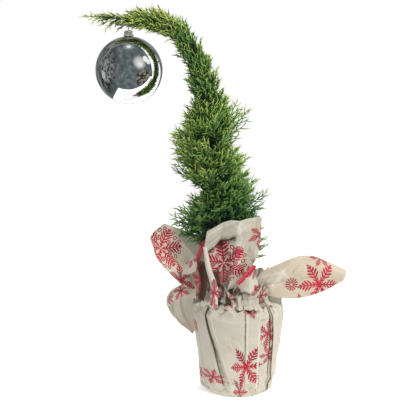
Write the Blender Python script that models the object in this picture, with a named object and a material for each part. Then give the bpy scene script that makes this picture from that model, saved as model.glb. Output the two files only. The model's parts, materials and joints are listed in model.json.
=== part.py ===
"""A potted conifer whose leader is bent over, with one bauble and a paper wrap.

The plant stands on the ground at Z = 0, the origin is the centre of the wrapped
pot's flat underside, +X is to the right and the front of the plant faces -Y.
Lengths are in metres. The order of the parts is: the pot and its soil, the
trunk, the foliage round the trunk, the paper wrap, the ribbon and the bauble.
"""

import random
from itertools import product
from math import cos, exp, pi, radians, sin, tan

import bmesh
import bpy
import numpy as np
from mathutils import Vector

GAP = 0.0003             # clearance between neighbouring solids

# The nursery pot: a five-inch pot, 127 mm over its rim.
PAPER = 0.0012           # thickness of the paper, two plies with their air
POT_FLOOR_Z = PAPER + GAP
POT_HEIGHT = 0.119
POT_WALL = 0.0015
POT_FOOT_RADIUS = 0.0445
POT_MOUTH_RADIUS = 0.0590
POT_RIM_RADIUS = 0.0628
POT_RIM_HEIGHT = 0.012
SOIL_TOP_Z = 0.108
ROUND_STEPS = 30

# The trunk, by the distance s along it from the soil.
TRUNK_X = 0.0065
TRUNK_LENGTH = 0.545
TRUNK_STEP = 0.001
FOOT_LEAN = 12.0         # degrees from upright, towards -X
WAIST_LEAN = 5.0
LEAN_EASE = (0.130, 0.260)
BEND_START = 0.320       # the leader starts to bend over here
BEND_LENGTH = 0.210
BEND_POWER = 1.7
TIP_LEAN = 90.0
TRUNK_RADIUS = 0.0046
TRUNK_TIP_RADIUS = 0.0012
FLARE_RADIUS = 0.0034
FLARE_HEIGHT = 0.011
TRUNK_SIDES = 10
TRUNK_RINGS = 36

# The foliage. Each mass owns the stretch of trunk it springs from, and its
# space is a band between two cones that open forwards along the trunk.
MASSES = (
    # name, start s, end s, sprays, core share of the outline, tooth pairs
    ("foliage_base", 0.100, 0.128, 13, 0.30, 3),
    ("foliage_lower", 0.128, 0.164, 14, 0.38, 3),
    ("foliage_middle", 0.164, 0.206, 14, 0.38, 3),
    ("foliage_upper", 0.206, 0.254, 14, 0.40, 3),
    ("foliage_neck", 0.254, 0.318, 14, 0.45, 3),
    ("foliage_bend", 0.318, 0.420, 17, 0.60, 2),
    ("foliage_arch", 0.420, 0.520, 16, 0.54, 2),
)
OUTLINE = (
    # distance s along the trunk, reach of the foliage out from the trunk
    (0.090, 0.050), (0.125, 0.060), (0.160, 0.064), (0.205, 0.064),
    (0.250, 0.058), (0.290, 0.060), (0.320, 0.052), (0.345, 0.044),
    (0.375, 0.027), (0.430, 0.024), (0.500, 0.022), (0.535, 0.017),
    (0.560, 0.012), (0.605, 0.007),
)
TUFTS = (
    # s, turn round the trunk (0 = right, 180 = left), extra reach, half length
    (0.190, 180, 0.014, 0.016), (0.207, 0, 0.012, 0.014),
    (0.225, 180, -0.016, 0.014), (0.270, 180, 0.013, 0.022),
    (0.285, 0, 0.000, 0.015), (0.305, 0, -0.012, 0.010),
    (0.335, 0, 0.010, 0.014), (0.355, 180, -0.012, 0.015),
    (0.395, 0, 0.004, 0.010), (0.445, 0, 0.004, 0.018), (0.485, 0, 0.008, 0.012),
    (0.515, 0, -0.006, 0.012),
)
SPRAY_ANGLE = ((0.100, 80.0), (0.165, 62.0), (0.250, 50.0), (0.330, 36.0),
               (0.420, 24.0), (0.540, 20.0))
SIDE_PLACES = (0.12, 0.42, 0.74)   # of a mass's stretch, for its sprays to the sides
SPACE_MARGIN = 0.0012    # half the free gap between two masses' spaces
CORE_RINGS = 4
CORE_RING_SPACING = 0.015
CORE_END_SHARE = 0.80
CORE_BUMP = 0.12
BORE_CLEARANCE = 0.0009
SPRAY_THICKNESS = 0.0017
SPRAY_STEM = 0.0013
SPRAY_SHARE = 0.235      # half width of a spray for its length
SPRAY_MIN_LENGTH = 0.012
CLEARANCE = 0.006        # between a spray and points on the paper or the bauble
SEED = 7
TIP_STEM_LENGTH = 0.022
TIP_SPRAYS = (
    # start along the stem, length, rise in degrees, swing in degrees
    (0.002, 0.026, -26, 28), (0.003, 0.024, 34, 20), (0.005, 0.030, -36, -14),
    (0.007, 0.030, 28, -24), (0.010, 0.032, -16, -30), (0.013, 0.030, -22, 16),
    (0.016, 0.032, 14, 14), (0.019, 0.042, 2, -3),
)

# The paper wrap round the pot: (height, radius) from the foot to the neck.
WRAP_PROFILE = ((0.000, 0.0468), (0.007, 0.0520), (0.030, 0.0575),
                (0.110, 0.0682), (0.132, 0.0690), (0.141, 0.0650),
                (0.1485, 0.0426), (0.160, 0.0372))
WRAP_RIM_Z = 0.132
PLEATS = (
    # turn at the rim, turn at the foot (degrees, 0 = front, 90 = right), depth
    (-44, -24, 0.0018), (8, 12, 0.0012), (42, 57, 0.0018), (-68, -60, 0.0014),
    (104, 108, 0.0014), (140, 148, 0.0018), (176, 168, 0.0014), (-128, -140, 0.0018),
)
PLEAT_WIDTH = 5.0        # degrees
SWELLS = (
    # turn, height, half width in degrees, half height, how far the paper stands out
    (-88, 0.012, 30, 0.022, 0.0055), (-82, 0.1430, 26, 0.0045, 0.0090),
)
WRAP_SIDES = 48
SHEET_ROWS = 8
SHEET_COLUMNS = 5

# The ribbon.
RIBBON_THICKNESS = 0.0008
RIBBON_WIDTH = 0.009
BAND_INNER_RADIUS = 0.0432
BAND_HEIGHT = 0.0060
BAND_Z = 0.1535

# The bauble: a 100 mm ball hung from the leader.
BAUBLE_RADIUS = 0.050
BAUBLE_WALL = 0.0010
BALL_RINGS = 12
BALL_STEPS = 22
BAUBLE_X = -0.1652
BAUBLE_Z = 0.4999
BAUBLE_NECK_RADIUS = 0.0050
BAUBLE_NECK_HEIGHT = 0.0035
CAP_RADIUS = 0.0066
CAP_HEIGHT = 0.0085
CAP_WALL = 0.0006
CAP_STEPS = 16
RING_RADIUS = 0.0030
WIRE_RADIUS = 0.0006
HANGER_CLEARANCE = 0.0006

random.seed(SEED)


def clear_scene():
    """Empty the scene."""
    for item in list(bpy.data.objects):
        bpy.data.objects.remove(item, do_unlink=True)


def material(name, colour, roughness, metallic=0.0):
    """Make a Principled material of one plain colour."""
    made = bpy.data.materials.new(name)
    made.use_nodes = True
    shader = made.node_tree.nodes["Principled BSDF"]
    shader.inputs["Base Color"].default_value = (*colour, 1.0)
    shader.inputs["Roughness"].default_value = roughness
    shader.inputs["Metallic"].default_value = metallic
    return made


def finish(name, bm, look, smooth_angle=None):
    """Turn a bmesh into a named object with its material."""
    bmesh.ops.recalc_face_normals(bm, faces=bm.faces)
    mesh = bpy.data.meshes.new(name)
    bm.to_mesh(mesh)
    bm.free()
    mesh.materials.append(look)
    if smooth_angle is not None:
        mesh.shade_smooth()
        mesh.set_sharp_from_angle(angle=radians(smooth_angle))
    made = bpy.data.objects.new(name, mesh)
    bpy.context.collection.objects.link(made)
    return made


def turned(name, profile, look, steps=ROUND_STEPS, centre=(0.0, 0.0)):
    """Spin a closed (radius, height) outline round an upright axis.

    A point at radius 0 lies on the axis, where the spun faces meet.
    """
    bm = bmesh.new()
    outline = [bm.verts.new((radius, 0.0, height)) for radius, height in profile]
    edges = [bm.edges.new(pair) for pair in zip(outline, outline[1:] + outline[:1])]
    on_axis = [edge for edge in edges if all(v.co.x < 1e-9 for v in edge.verts)]
    turning = [edge for edge in edges if edge not in on_axis]
    bmesh.ops.spin(bm, geom=turning, cent=(0, 0, 0), axis=(0, 0, 1),
                   angle=2 * pi, steps=steps, use_merge=True)
    bmesh.ops.remove_doubles(bm, verts=bm.verts, dist=1e-6)
    for edge in [edge for edge in bm.edges if not edge.link_faces]:
        bm.edges.remove(edge)
    bmesh.ops.translate(bm, verts=bm.verts, vec=(*centre, 0.0))
    return finish(name, bm, look, smooth_angle=35)


def skin(bm, rings, closed_ends=True):
    """Join rings of points, each of the same count, into one skin."""
    made = [[bm.verts.new(point) for point in ring] for ring in rings]
    count = len(made[0])
    for lower, upper in zip(made, made[1:]):
        for i in range(count):
            j = (i + 1) % count
            bm.faces.new((lower[i], lower[j], upper[j], upper[i]))
    if closed_ends:
        bm.faces.new(reversed(made[0]))
        bm.faces.new(made[-1])
    return made


def smooth_path(points, count):
    """Sample a smooth curve through the points, evenly along their chords."""
    points = np.array(points, dtype=float)
    chords = np.linalg.norm(np.diff(points, axis=0), axis=1)
    knots = np.concatenate([[0.0], np.cumsum(chords)])
    slopes = np.gradient(points, knots, axis=0)
    places = np.linspace(0.0, knots[-1], count)
    span = np.clip(np.searchsorted(knots, places) - 1, 0, len(points) - 2)
    width = (knots[span + 1] - knots[span])[:, None]
    u = (places - knots[span])[:, None] / width
    return ((2 * u**3 - 3 * u**2 + 1) * points[span]
            + (u**3 - 2 * u**2 + u) * width * slopes[span]
            + (3 * u**2 - 2 * u**3) * points[span + 1]
            + (u**3 - u**2) * width * slopes[span + 1])


# ---------------------------------------------------------------- the trunk

def ease(value, start, end):
    """Rise smoothly from 0 to 1 between start and end."""
    u = min(1.0, max(0.0, (value - start) / (end - start)))
    return u * u * (3 - 2 * u)


def lean(s):
    """The trunk's lean from upright at distance s, in radians."""
    stem = FOOT_LEAN + (WAIST_LEAN - FOOT_LEAN) * ease(s, *LEAN_EASE)
    bend = min(1.0, max(0.0, (s - BEND_START) / BEND_LENGTH)) ** BEND_POWER
    return radians(stem + (TIP_LEAN - WAIST_LEAN) * bend)


def walk_trunk():
    """Walk up the trunk in small steps and note where each step ends."""
    steps = int(round((TRUNK_LENGTH + 0.08) / TRUNK_STEP))
    place = Vector((TRUNK_X, 0.0, SOIL_TOP_Z + GAP))
    places = [place.copy()]
    for step in range(steps):
        angle = lean((step + 0.5) * TRUNK_STEP)
        place = place + TRUNK_STEP * Vector((-sin(angle), 0.0, cos(angle)))
        places.append(place.copy())
    return places


TRUNK_WALK = walk_trunk()


def trunk_point(s):
    """The trunk's centre at distance s."""
    place = s / TRUNK_STEP
    index = min(int(place), len(TRUNK_WALK) - 2)
    return TRUNK_WALK[index].lerp(TRUNK_WALK[index + 1], place - index)


def trunk_frame(s):
    """Unit vectors at s: along the trunk, to its right side, to the back."""
    angle = lean(s)
    along = Vector((-sin(angle), 0.0, cos(angle)))
    right = Vector((cos(angle), 0.0, sin(angle)))
    return along, right, Vector((0.0, 1.0, 0.0))


def around(s, radius, turn):
    """The point at a radius from the trunk's centre at s, turned round it."""
    _, right, back = trunk_frame(s)
    return trunk_point(s) + radius * (cos(turn) * right + sin(turn) * back)


def trunk_radius(s):
    """Root flare at the soil, then an even taper to the tip."""
    taper = TRUNK_RADIUS + (TRUNK_TIP_RADIUS - TRUNK_RADIUS) * s / TRUNK_LENGTH
    return taper + FLARE_RADIUS * exp(-s / FLARE_HEIGHT)


def turns(count):
    """Even turns of a full circle, in radians."""
    return [2 * pi * i / count for i in range(count)]


def make_trunk(look):
    """The trunk from its flat cut on the soil to the end of the leader."""
    stops = [TRUNK_LENGTH * (i / (TRUNK_RINGS - 1)) for i in range(TRUNK_RINGS)]
    stops.insert(1, FLARE_HEIGHT * 0.4)
    bm = bmesh.new()
    rings = [[around(s, trunk_radius(s), turn) for turn in turns(TRUNK_SIDES)]
             for s in stops]
    foot = SOIL_TOP_Z + GAP
    rings[0] = [Vector((point.x, point.y, foot)) for point in rings[0]]
    skin(bm, rings)
    return finish("trunk", bm, look, smooth_angle=50)


# -------------------------------------------------------------- the foliage

def table(rows, s):
    """Read a (distance, value) table at s, straight between its rows."""
    return float(np.interp(s, [row[0] for row in rows], [row[1] for row in rows]))


def reach(s, turn):
    """How far the foliage stands out from the trunk at s on one side."""
    total = table(OUTLINE, s)
    for place, side, extra, half_length in TUFTS:
        facing = max(0.0, cos(turn - radians(side))) ** 2
        total += extra * facing * exp(-((s - place) / half_length) ** 2)
    return total


def spray_slope(s):
    """How far forward a spray that springs at s goes for each step outwards."""
    return 1.0 / tan(radians(table(SPRAY_ANGLE, s)))


def sheared(t, radius, turn):
    """The point that a spray springing at t passes at this radius."""
    return around(t + radius * spray_slope(t), radius, turn)


def tip_radius(t, turn):
    """The radius where a spray that springs at t meets the outline."""
    radius = reach(t, turn)
    for _ in range(12):
        radius = 0.5 * (radius + reach(t + radius * spray_slope(t), turn))
    return radius


def trunk_place(point):
    """Distance along the trunk and radius from it of a point in space."""
    gaps = [(point - place).length_squared for place in TRUNK_WALK]
    index = gaps.index(min(gaps))
    s = index * TRUNK_STEP
    along, _, _ = trunk_frame(s)
    s += (point - TRUNK_WALK[index]).dot(along)
    return s, (point - trunk_point(max(0.0, s))).length


def in_space(points, start, end):
    """True where all points lie between a mass's limiting cones, off the trunk."""
    for point in points:
        s, radius = trunk_place(point)
        if s < TRUNK_LENGTH and radius < trunk_radius(s) + BORE_CLEARANCE:
            return False
        if s - radius * spray_slope(start) < start + SPACE_MARGIN:
            return False
        if s - radius * spray_slope(end) > end - SPACE_MARGIN:
            return False
    return True


def is_clear(points, obstacles, distance):
    """True where no point comes within the distance of an obstacle point."""
    gaps = np.linalg.norm(np.array(points)[:, None, :] - obstacles[None], axis=2)
    return bool(gaps.min() > distance)


def blade_outline(length, pairs):
    """A toothed blade in its own plane: x along it, y across it."""
    half = SPRAY_SHARE * length
    first = 0.20 * length
    spacing = (0.86 * length - first) / pairs
    sides = []
    for side in (1, -1):
        edge = [(0.0, side * SPRAY_STEM)]
        for tooth in range(pairs):
            start = first + (tooth + (0.0 if side > 0 else 0.45)) * spacing
            share = 1.0 - 0.55 * tooth / pairs
            stem = SPRAY_STEM * (1.0 - 0.5 * start / length)
            edge.append((start, side * stem))
            edge.append((start + 1.15 * spacing, side * half * share))
        edge.append((min(0.93 * length, start + spacing), side * 0.6 * SPRAY_STEM))
        sides.append(edge)
    return sides[0] + [(length, 0.0)] + sides[1][::-1]


def blade_points(root, heading, across, length, pairs):
    """The blade's outline in space, on its two faces."""
    normal = heading.cross(across).normalized()
    flat = [root + heading * x + across * y
            for x, y in blade_outline(length, pairs)]
    lift = normal * (SPRAY_THICKNESS / 2)
    return [point - lift for point in flat], [point + lift for point in flat]


def blade_object(lower, upper, group):
    """One closed blade, put in the collection whose union makes the mass."""
    bm = bmesh.new()
    skin(bm, [lower, upper])
    bmesh.ops.recalc_face_normals(bm, faces=bm.faces)
    bmesh.ops.triangulate(bm, faces=[f for f in bm.faces if len(f.verts) > 4])
    mesh = bpy.data.meshes.new("blade")
    bm.to_mesh(mesh)
    bm.free()
    group.objects.link(bpy.data.objects.new("blade", mesh))


def core_rings(start, end, share):
    """Rings of a mass's core: up its outside, then down its bore."""
    rings = []
    count = max(CORE_RINGS, 1 + round((end - start) / CORE_RING_SPACING))
    stops = [start + SPACE_MARGIN + (end - start - 2 * SPACE_MARGIN) * i / (count - 1)
             for i in range(count)]
    for row, t in enumerate(stops):
        rounding = CORE_END_SHARE if row in (0, count - 1) else 1.0
        ring = []
        for turn in turns(TRUNK_SIDES):
            bump = 1.0 + CORE_BUMP * sin(3 * turn + 5 * row + 90 * start)
            radius = share * tip_radius(t, turn) * rounding * bump
            ring.append(sheared(t, radius, turn))
        rings.append(ring)
    for t in reversed(stops):
        bore = trunk_radius(t) + BORE_CLEARANCE
        rings.append([sheared(t, bore, turn) for turn in turns(TRUNK_SIDES)])
    return rings


def core_object(name, start, end, share, look):
    """The dense heart of a mass, bored clear of the trunk."""
    bm = bmesh.new()
    made = skin(bm, core_rings(start, end, share), closed_ends=False)
    first, last = made[0], made[-1]
    for i in range(TRUNK_SIDES):
        j = (i + 1) % TRUNK_SIDES
        bm.faces.new((last[i], last[j], first[j], first[i]))
    return finish(name, bm, look)


def largest_shell(mesh):
    """Keep the mesh's largest connected shell and drop voids and scraps."""
    bm = bmesh.new()
    bm.from_mesh(mesh)
    left = set(bm.verts)
    shells = []
    while left:
        stack = [left.pop()]
        shell = set(stack)
        while stack:
            for edge in stack.pop().link_edges:
                for vert in edge.verts:
                    if vert not in shell:
                        shell.add(vert)
                        stack.append(vert)
        left -= shell
        shells.append(shell)
    keep = max(shells, key=len)
    bmesh.ops.delete(bm, geom=[v for v in bm.verts if v not in keep], context="VERTS")
    bm.to_mesh(mesh)
    bm.free()


def fuse(body, group):
    """Join a collection's objects to the body with one applied union."""
    join = body.modifiers.new("Union", "BOOLEAN")
    join.operation = "UNION"
    join.operand_type = "COLLECTION"
    join.collection = group
    join.solver = "EXACT"
    graph = bpy.context.evaluated_depsgraph_get()
    joined = bpy.data.meshes.new_from_object(body.evaluated_get(graph))
    body.modifiers.clear()
    body.data = joined
    largest_shell(joined)
    for item in list(group.objects):
        bpy.data.objects.remove(item, do_unlink=True)
    bpy.data.collections.remove(group)


def spray_group():
    """A collection that holds one mass's blades until they are joined."""
    group = bpy.data.collections.new("sprays")
    bpy.context.scene.collection.children.link(group)
    return group


def grow_spray(t, turn, roll, fill, mass, obstacles, group):
    """Grow one spray, shorter if it must be, and say whether it fitted."""
    _, start, end, _, share, pairs = mass
    tip = tip_radius(t, turn) * fill
    root_radius = max(trunk_radius(t) + 2.2 * BORE_CLEARANCE, 0.55 * share * tip)
    root = sheared(t, root_radius, turn)
    for cut, turned_share in product((1.0, 0.85, 0.7, 0.55), (1.0, 0.4)):
        end_radius = root_radius + (tip - root_radius) * cut
        heading = sheared(t, end_radius, turn) - root
        length = heading.length
        if length < SPRAY_MIN_LENGTH:
            return False
        heading.normalize()
        _, right, back = trunk_frame(t)
        sideways = -sin(turn) * right + cos(turn) * back
        angle = roll * turned_share
        across = sideways * cos(angle) + heading.cross(sideways) * sin(angle)
        lower, upper = blade_points(root, heading, across, length, pairs)
        along_edges = [a.lerp(b, 0.5) for a, b in zip(lower, lower[1:] + lower[:1])]
        points = lower + upper + along_edges + [root.lerp(root + heading * length, 0.5)]
        if in_space(points, start, end) and is_clear(points, obstacles, CLEARANCE):
            blade_object(lower, upper, group)
            return True
    return False


def make_mass(mass, obstacles, look):
    """One mass of foliage: a bored core with toothed sprays standing out."""
    name, start, end, sprays, share, _ = mass
    core = core_object(name, start, end, share, look)
    group = spray_group()
    golden = pi * (3 - 5 ** 0.5)
    offset = random.uniform(0, 2 * pi)
    for number in range(sprays):
        t = start + (end - start) * (number + 0.5) / sprays
        turn = offset + golden * number
        fill = random.uniform(0.86, 1.0)
        roll = random.uniform(-0.9, 0.9)
        t += random.uniform(-0.25, 0.25) * (end - start) / sprays
        grow_spray(t, turn, roll, fill, mass, obstacles, group)
    for side, place in product((0.0, pi), SIDE_PLACES):
        t = start + (end - start) * place
        turn = side + random.uniform(-0.15, 0.15)
        grow_spray(t, turn, random.uniform(0.9, 1.3), 1.0, mass, obstacles, group)
    fuse(core, group)
    return core


def make_tip(look):
    """The last thin twigs beyond the end of the trunk."""
    start = TRUNK_LENGTH + GAP
    stops = [start + TIP_STEM_LENGTH * i / 3 for i in range(4)]
    bm = bmesh.new()
    radii = [TRUNK_TIP_RADIUS * (1.3 - 0.12 * i) for i in range(4)]
    skin(bm, [[around(s, radius, turn) for turn in turns(6)]
              for s, radius in zip(stops, radii)])
    stem = finish("foliage_tip", bm, look)
    group = spray_group()
    for place, length, rise, swing in TIP_SPRAYS:
        along, right, back = trunk_frame(start + place)
        heading = along * cos(radians(rise)) + right * sin(radians(rise))
        heading = heading * cos(radians(swing)) + back * sin(radians(swing))
        across = heading.cross(back * cos(place * 90) + right * sin(place * 90))
        root = trunk_point(start + place)
        lower, upper = blade_points(root, heading, across.normalized(), length, 3)
        blade_object(lower, upper, group)
    fuse(stem, group)
    return stem


# ------------------------------------------------------------ pot and paper

def make_pot(look):
    """The thin plastic nursery pot with its turned-out rim."""
    top = POT_FLOOR_Z + POT_HEIGHT
    rim = top - POT_RIM_HEIGHT
    inside = POT_MOUTH_RADIUS - POT_WALL
    profile = ((0.0, POT_FLOOR_Z), (POT_FOOT_RADIUS, POT_FLOOR_Z),
               (POT_MOUTH_RADIUS, rim), (POT_RIM_RADIUS, rim),
               (POT_RIM_RADIUS, top), (POT_RIM_RADIUS - POT_WALL, top),
               (POT_RIM_RADIUS - POT_WALL, rim + POT_WALL),
               (inside, rim + POT_WALL),
               (POT_FOOT_RADIUS - POT_WALL, POT_FLOOR_Z + POT_WALL),
               (0.0, POT_FLOOR_Z + POT_WALL))
    return turned("pot", profile, look)


def make_soil(look):
    """The potting mix: it fills the pot to just under the rim."""
    floor = POT_FLOOR_Z + POT_WALL + GAP
    slope = (POT_MOUTH_RADIUS - POT_FOOT_RADIUS) / (POT_HEIGHT - POT_RIM_HEIGHT)
    foot = POT_FOOT_RADIUS - POT_WALL - 2 * GAP
    top = foot + slope * (SOIL_TOP_Z - floor)
    profile = ((0.0, floor), (foot, floor), (top, SOIL_TOP_Z), (0.0, SOIL_TOP_Z))
    return turned("soil", profile, look)


def front_turn(degrees):
    """Unit vector across the ground: 0 is the front, 90 the right side."""
    return Vector((sin(radians(degrees)), -cos(radians(degrees)), 0.0))


def pleat_depth(degrees, height):
    """How far the folds draw the paper in at one turn and height."""
    share = min(1.0, max(0.0, height / WRAP_RIM_Z))
    depth = 0.0
    for rim, foot, fold in PLEATS:
        place = foot + (rim - foot) * share
        off = (degrees - place + 180.0) % 360.0 - 180.0
        depth += fold * exp(-(off / PLEAT_WIDTH) ** 2)
    return depth * ease(height, 0.0, 0.02)


def swell(degrees, height):
    """How far the loose paper stands out at one turn and height."""
    out = 0.0
    for turn, middle, half_width, half_height, extra in SWELLS:
        off = (degrees - turn + 180.0) % 360.0 - 180.0
        out += extra * exp(-(off / half_width) ** 2
                           - ((height - middle) / half_height) ** 2)
    return out


def wrap_ring(radius, height, lift):
    """One pleated ring of the paper round the pot, raised by the lift."""
    ring = []
    for side in range(WRAP_SIDES):
        degrees = 360.0 * side / WRAP_SIDES
        drawn = radius - pleat_depth(degrees, height) + swell(degrees, height)
        ring.append(drawn * front_turn(degrees) + Vector((0, 0, height + lift)))
    return ring


def make_wrap_body(look):
    """The paper cup round the pot, pleated, drawn in to a neck above it."""
    outer = [wrap_ring(radius, height, 0.0) for height, radius in WRAP_PROFILE]
    inner = [wrap_ring(radius - PAPER, height, PAPER if height == 0.0 else 0.0)
             for height, radius in WRAP_PROFILE]
    bm = bmesh.new()
    skin(bm, outer + inner[::-1])
    return finish("wrap_body", bm, look, smooth_angle=30)


def sheet_points(left, right, bow, rows=SHEET_ROWS, columns=SHEET_COLUMNS):
    """A grid of points between two edge curves, bowed between them.

    Each edge is a few points in millimetres, from the neck of the wrap to the
    sheet's far end, and bow is how far the middle stands off the straight line
    between the edges, growing along the sheet.
    """
    near = smooth_path(left, rows) / 1000.0
    far = smooth_path(right, rows) / 1000.0
    u = np.linspace(0.0, 1.0, rows)[:, None, None]
    v = np.linspace(0.0, 1.0, columns)[None, :, None]
    grid = near[:, None, :] * (1 - v) + far[:, None, :] * v
    return grid + np.array(bow) / 1000.0 * np.sin(pi * v) * (0.35 + 0.65 * u)


def make_sheet(name, left, right, bow, look, thickness=PAPER):
    """One curved sheet of paper, given its thickness by a Solidify modifier."""
    grid = sheet_points(left, right, bow)
    bm = bmesh.new()
    made = [[bm.verts.new(point) for point in row] for row in grid]
    for lower, upper in zip(made, made[1:]):
        for i in range(len(lower) - 1):
            bm.faces.new((lower[i], lower[i + 1], upper[i + 1], upper[i]))
    sheet = finish(name, bm, look, smooth_angle=60)
    solid = sheet.modifiers.new("Solidify", "SOLIDIFY")
    solid.thickness = thickness
    solid.offset = 0.0
    return sheet


# The loose paper above the neck: left edge, right edge and bow, in millimetres.
SHEETS = {
    "wrap_lobe_front": (
        ((-29, -29, 162), (-40, -46, 195), (-53, -56, 235), (-49, -66, 268)),
        ((-8, -42, 162), (4, -48, 188), (25, -54, 225), (31, -60, 262), (32, -66, 286)),
        (0, 11, 3)),
    "wrap_fold_front": (
        ((-45, -66, 150), (-44, -64, 183), (-51, -64, 214), (-55, -64, 245)),
        ((-36, -66, 150), (-35, -67, 183), (-44, -68, 214), (-50, -67, 245)),
        (0, -2, 0)),
    "wrap_flap_front": (
        ((6, -43, 162), (0, -51, 176), (1, -57, 190)),
        ((30, -33, 162), (28, -47, 184), (19, -58, 207)),
        (0, -4, 0)),
    "wrap_lobe_left": (
        ((-38, -14, 162), (-62, -24, 164), (-84, -30, 174), (-106, -32, 195),
         (-125, -30, 218), (-135, -24, 245)),
        ((-40, -2, 162), (-50, 2, 195), (-58, 6, 226), (-76, 6, 248),
         (-100, 2, 260), (-115, -6, 267)),
        (-5, 5, -3)),
    "wrap_droop_left": (
        ((-46, 12, 162), (-72, 10, 167), (-96, 6, 163), (-110, 4, 150),
         (-112, 4, 136), (-106, 5, 120), (-94, 7, 105), (-80, 10, 91), (-71, 12, 83)),
        ((-38, 22, 162), (-52, 32, 160), (-64, 38, 152), (-68, 38, 138),
         (-70, 36, 122), (-70, 34, 108), (-69, 30, 96), (-67, 26, 83)),
        (-3, 6, 0)),
    "wrap_wing_right": (
        ((24, -20, 180), (36, -18, 194), (56, -18, 204), (78, -17, 213),
         (98, -15, 218.5), (114, -13, 217), (131, -11, 210.5), (166, -8, 192)),
        ((36, -22, 162), (50, -30, 158), (64, -33, 156), (90, -33, 156),
         (110, -30, 159), (131, -23, 165), (148, -15, 171), (159, -9, 175)),
        (0, -9, 0)),
    "wrap_lobe_back_right": (
        ((26, 34, 162), (36, 42, 172), (44, 50, 179), (48, 54, 182)),
        ((38, 14, 162), (56, 18, 165), (70, 22, 169), (76, 25, 171)),
        (4, 5, 0)),
    "wrap_lobe_back": (
        ((-7, 44, 162), (-8, 60, 195), (-16, 70, 226), (-24, 75, 242)),
        ((19, 39, 162), (24, 56, 195), (24, 66, 222), (18, 70, 238)),
        (0, 6, 0)),
    "wrap_lobe_back_left": (
        ((-34, 31, 162), (-60, 47, 185), (-84, 54, 210), (-92, 56, 222)),
        ((-14, 43, 162), (-24, 60, 195), (-42, 68, 222), (-60, 70, 234)),
        (-3, 6, 0)),
}

# The two ends of the ribbon, in millimetres along their middles.
RIBBON_LEFT = ((-50, -54, 251), (-56, -50, 238), (-62, -44, 224), (-64, -38, 213))
RIBBON_RIGHT = ((23, -66, 214), (17, -66, 208), (9, -65, 200), (-5, -61, 184))


def make_band(look):
    """The ribbon round the neck of the wrap."""
    top = BAND_Z + BAND_HEIGHT
    outer = BAND_INNER_RADIUS + RIBBON_THICKNESS
    profile = ((BAND_INNER_RADIUS, BAND_Z), (outer, BAND_Z),
               (outer, top), (BAND_INNER_RADIUS, top))
    return turned("ribbon_band", profile, look)


def make_ribbon_end(name, path, look):
    """One loose end of the ribbon, a flat strip that twists a little."""
    middle = np.array(path, dtype=float)
    along = np.gradient(middle, axis=0)
    across = np.cross(along, (0.25, -1.0, 0.1))
    across /= np.linalg.norm(across, axis=1)[:, None]
    half = RIBBON_WIDTH * 500.0
    return make_sheet(name, middle - half * across, middle + half * across,
                      (0, -0.6, 0), look, RIBBON_THICKNESS)


# --------------------------------------------------------------- the bauble

def ball_profile(radius, opening, count):
    """Points of a ball's outline from its foot up to an opening's radius."""
    last = pi - np.arcsin(opening / radius)
    return [(radius * sin(a), -radius * cos(a))
            for a in np.linspace(0.0, last, count)]


def make_bauble(look):
    """The hollow ball with a short open neck at its top."""
    wall = BAUBLE_WALL
    outer = ball_profile(BAUBLE_RADIUS, BAUBLE_NECK_RADIUS, BALL_RINGS)
    inner = ball_profile(BAUBLE_RADIUS - wall, BAUBLE_NECK_RADIUS - wall, BALL_RINGS)
    top = outer[-1][1] + BAUBLE_NECK_HEIGHT
    neck = [(BAUBLE_NECK_RADIUS, top), (BAUBLE_NECK_RADIUS - wall, top)]
    outline = outer + neck + inner[::-1]
    profile = [(max(0.0, radius), height + BAUBLE_Z) for radius, height in outline]
    profile[0] = (0.0, BAUBLE_Z - BAUBLE_RADIUS)
    profile[-1] = (0.0, BAUBLE_Z - BAUBLE_RADIUS + wall)
    return turned("bauble", profile, look, steps=BALL_STEPS, centre=(BAUBLE_X, 0.0))


def cap_foot():
    """Height where the bauble's cap sits on the ball."""
    return BAUBLE_Z + (BAUBLE_RADIUS ** 2 - CAP_RADIUS ** 2) ** 0.5 + 2 * GAP


def make_cap(look):
    """The metal cap over the bauble's neck, open below."""
    foot = cap_foot()
    top = foot + CAP_HEIGHT
    under = top - CAP_WALL
    profile = ((CAP_RADIUS - CAP_WALL, foot), (CAP_RADIUS, foot),
               (CAP_RADIUS, top - CAP_WALL), (CAP_RADIUS - CAP_WALL, top),
               (0.0, top), (0.0, under), (CAP_RADIUS - CAP_WALL, under))
    return turned("bauble_cap", profile, look, steps=CAP_STEPS, centre=(BAUBLE_X, 0.0))


def hanger_middle():
    """The wire's path: a ring on the cap that runs on round the leader."""
    s = min(range(int(TRUNK_LENGTH / TRUNK_STEP)),
            key=lambda step: abs(TRUNK_WALK[step].x - BAUBLE_X)) * TRUNK_STEP
    top = trunk_point(s)
    loop = trunk_radius(s) + HANGER_CLEARANCE + WIRE_RADIUS
    foot = cap_foot() + CAP_HEIGHT + GAP + WIRE_RADIUS
    half_gap = 0.5 * RING_RADIUS
    path = [Vector((BAUBLE_X, -half_gap, foot)), Vector((BAUBLE_X, half_gap, foot))]
    for step in range(9):
        angle = radians(-20 + 220 * step / 8)
        path.append(Vector((BAUBLE_X, loop * cos(angle), top.z + loop * sin(angle))))
    return path


def make_hanger(look):
    """The thin wire loop that hangs the bauble from the leader."""
    path = hanger_middle()
    bm = bmesh.new()
    rings = []
    for i, point in enumerate(path):
        before = path[i - 1]
        after = path[(i + 1) % len(path)]
        along = (after - before).normalized()
        out = along.cross(Vector((1, 0, 0))).normalized()
        rings.append([point + WIRE_RADIUS * (cos(a) * Vector((1, 0, 0)) + sin(a) * out)
                      for a in turns(6)])
    made = skin(bm, rings, closed_ends=False)
    first, last = made[0], made[-1]
    for i in range(6):
        j = (i + 1) % 6
        bm.faces.new((last[i], last[j], first[j], first[i]))
    return finish("bauble_hanger", bm, look, smooth_angle=60)


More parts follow.
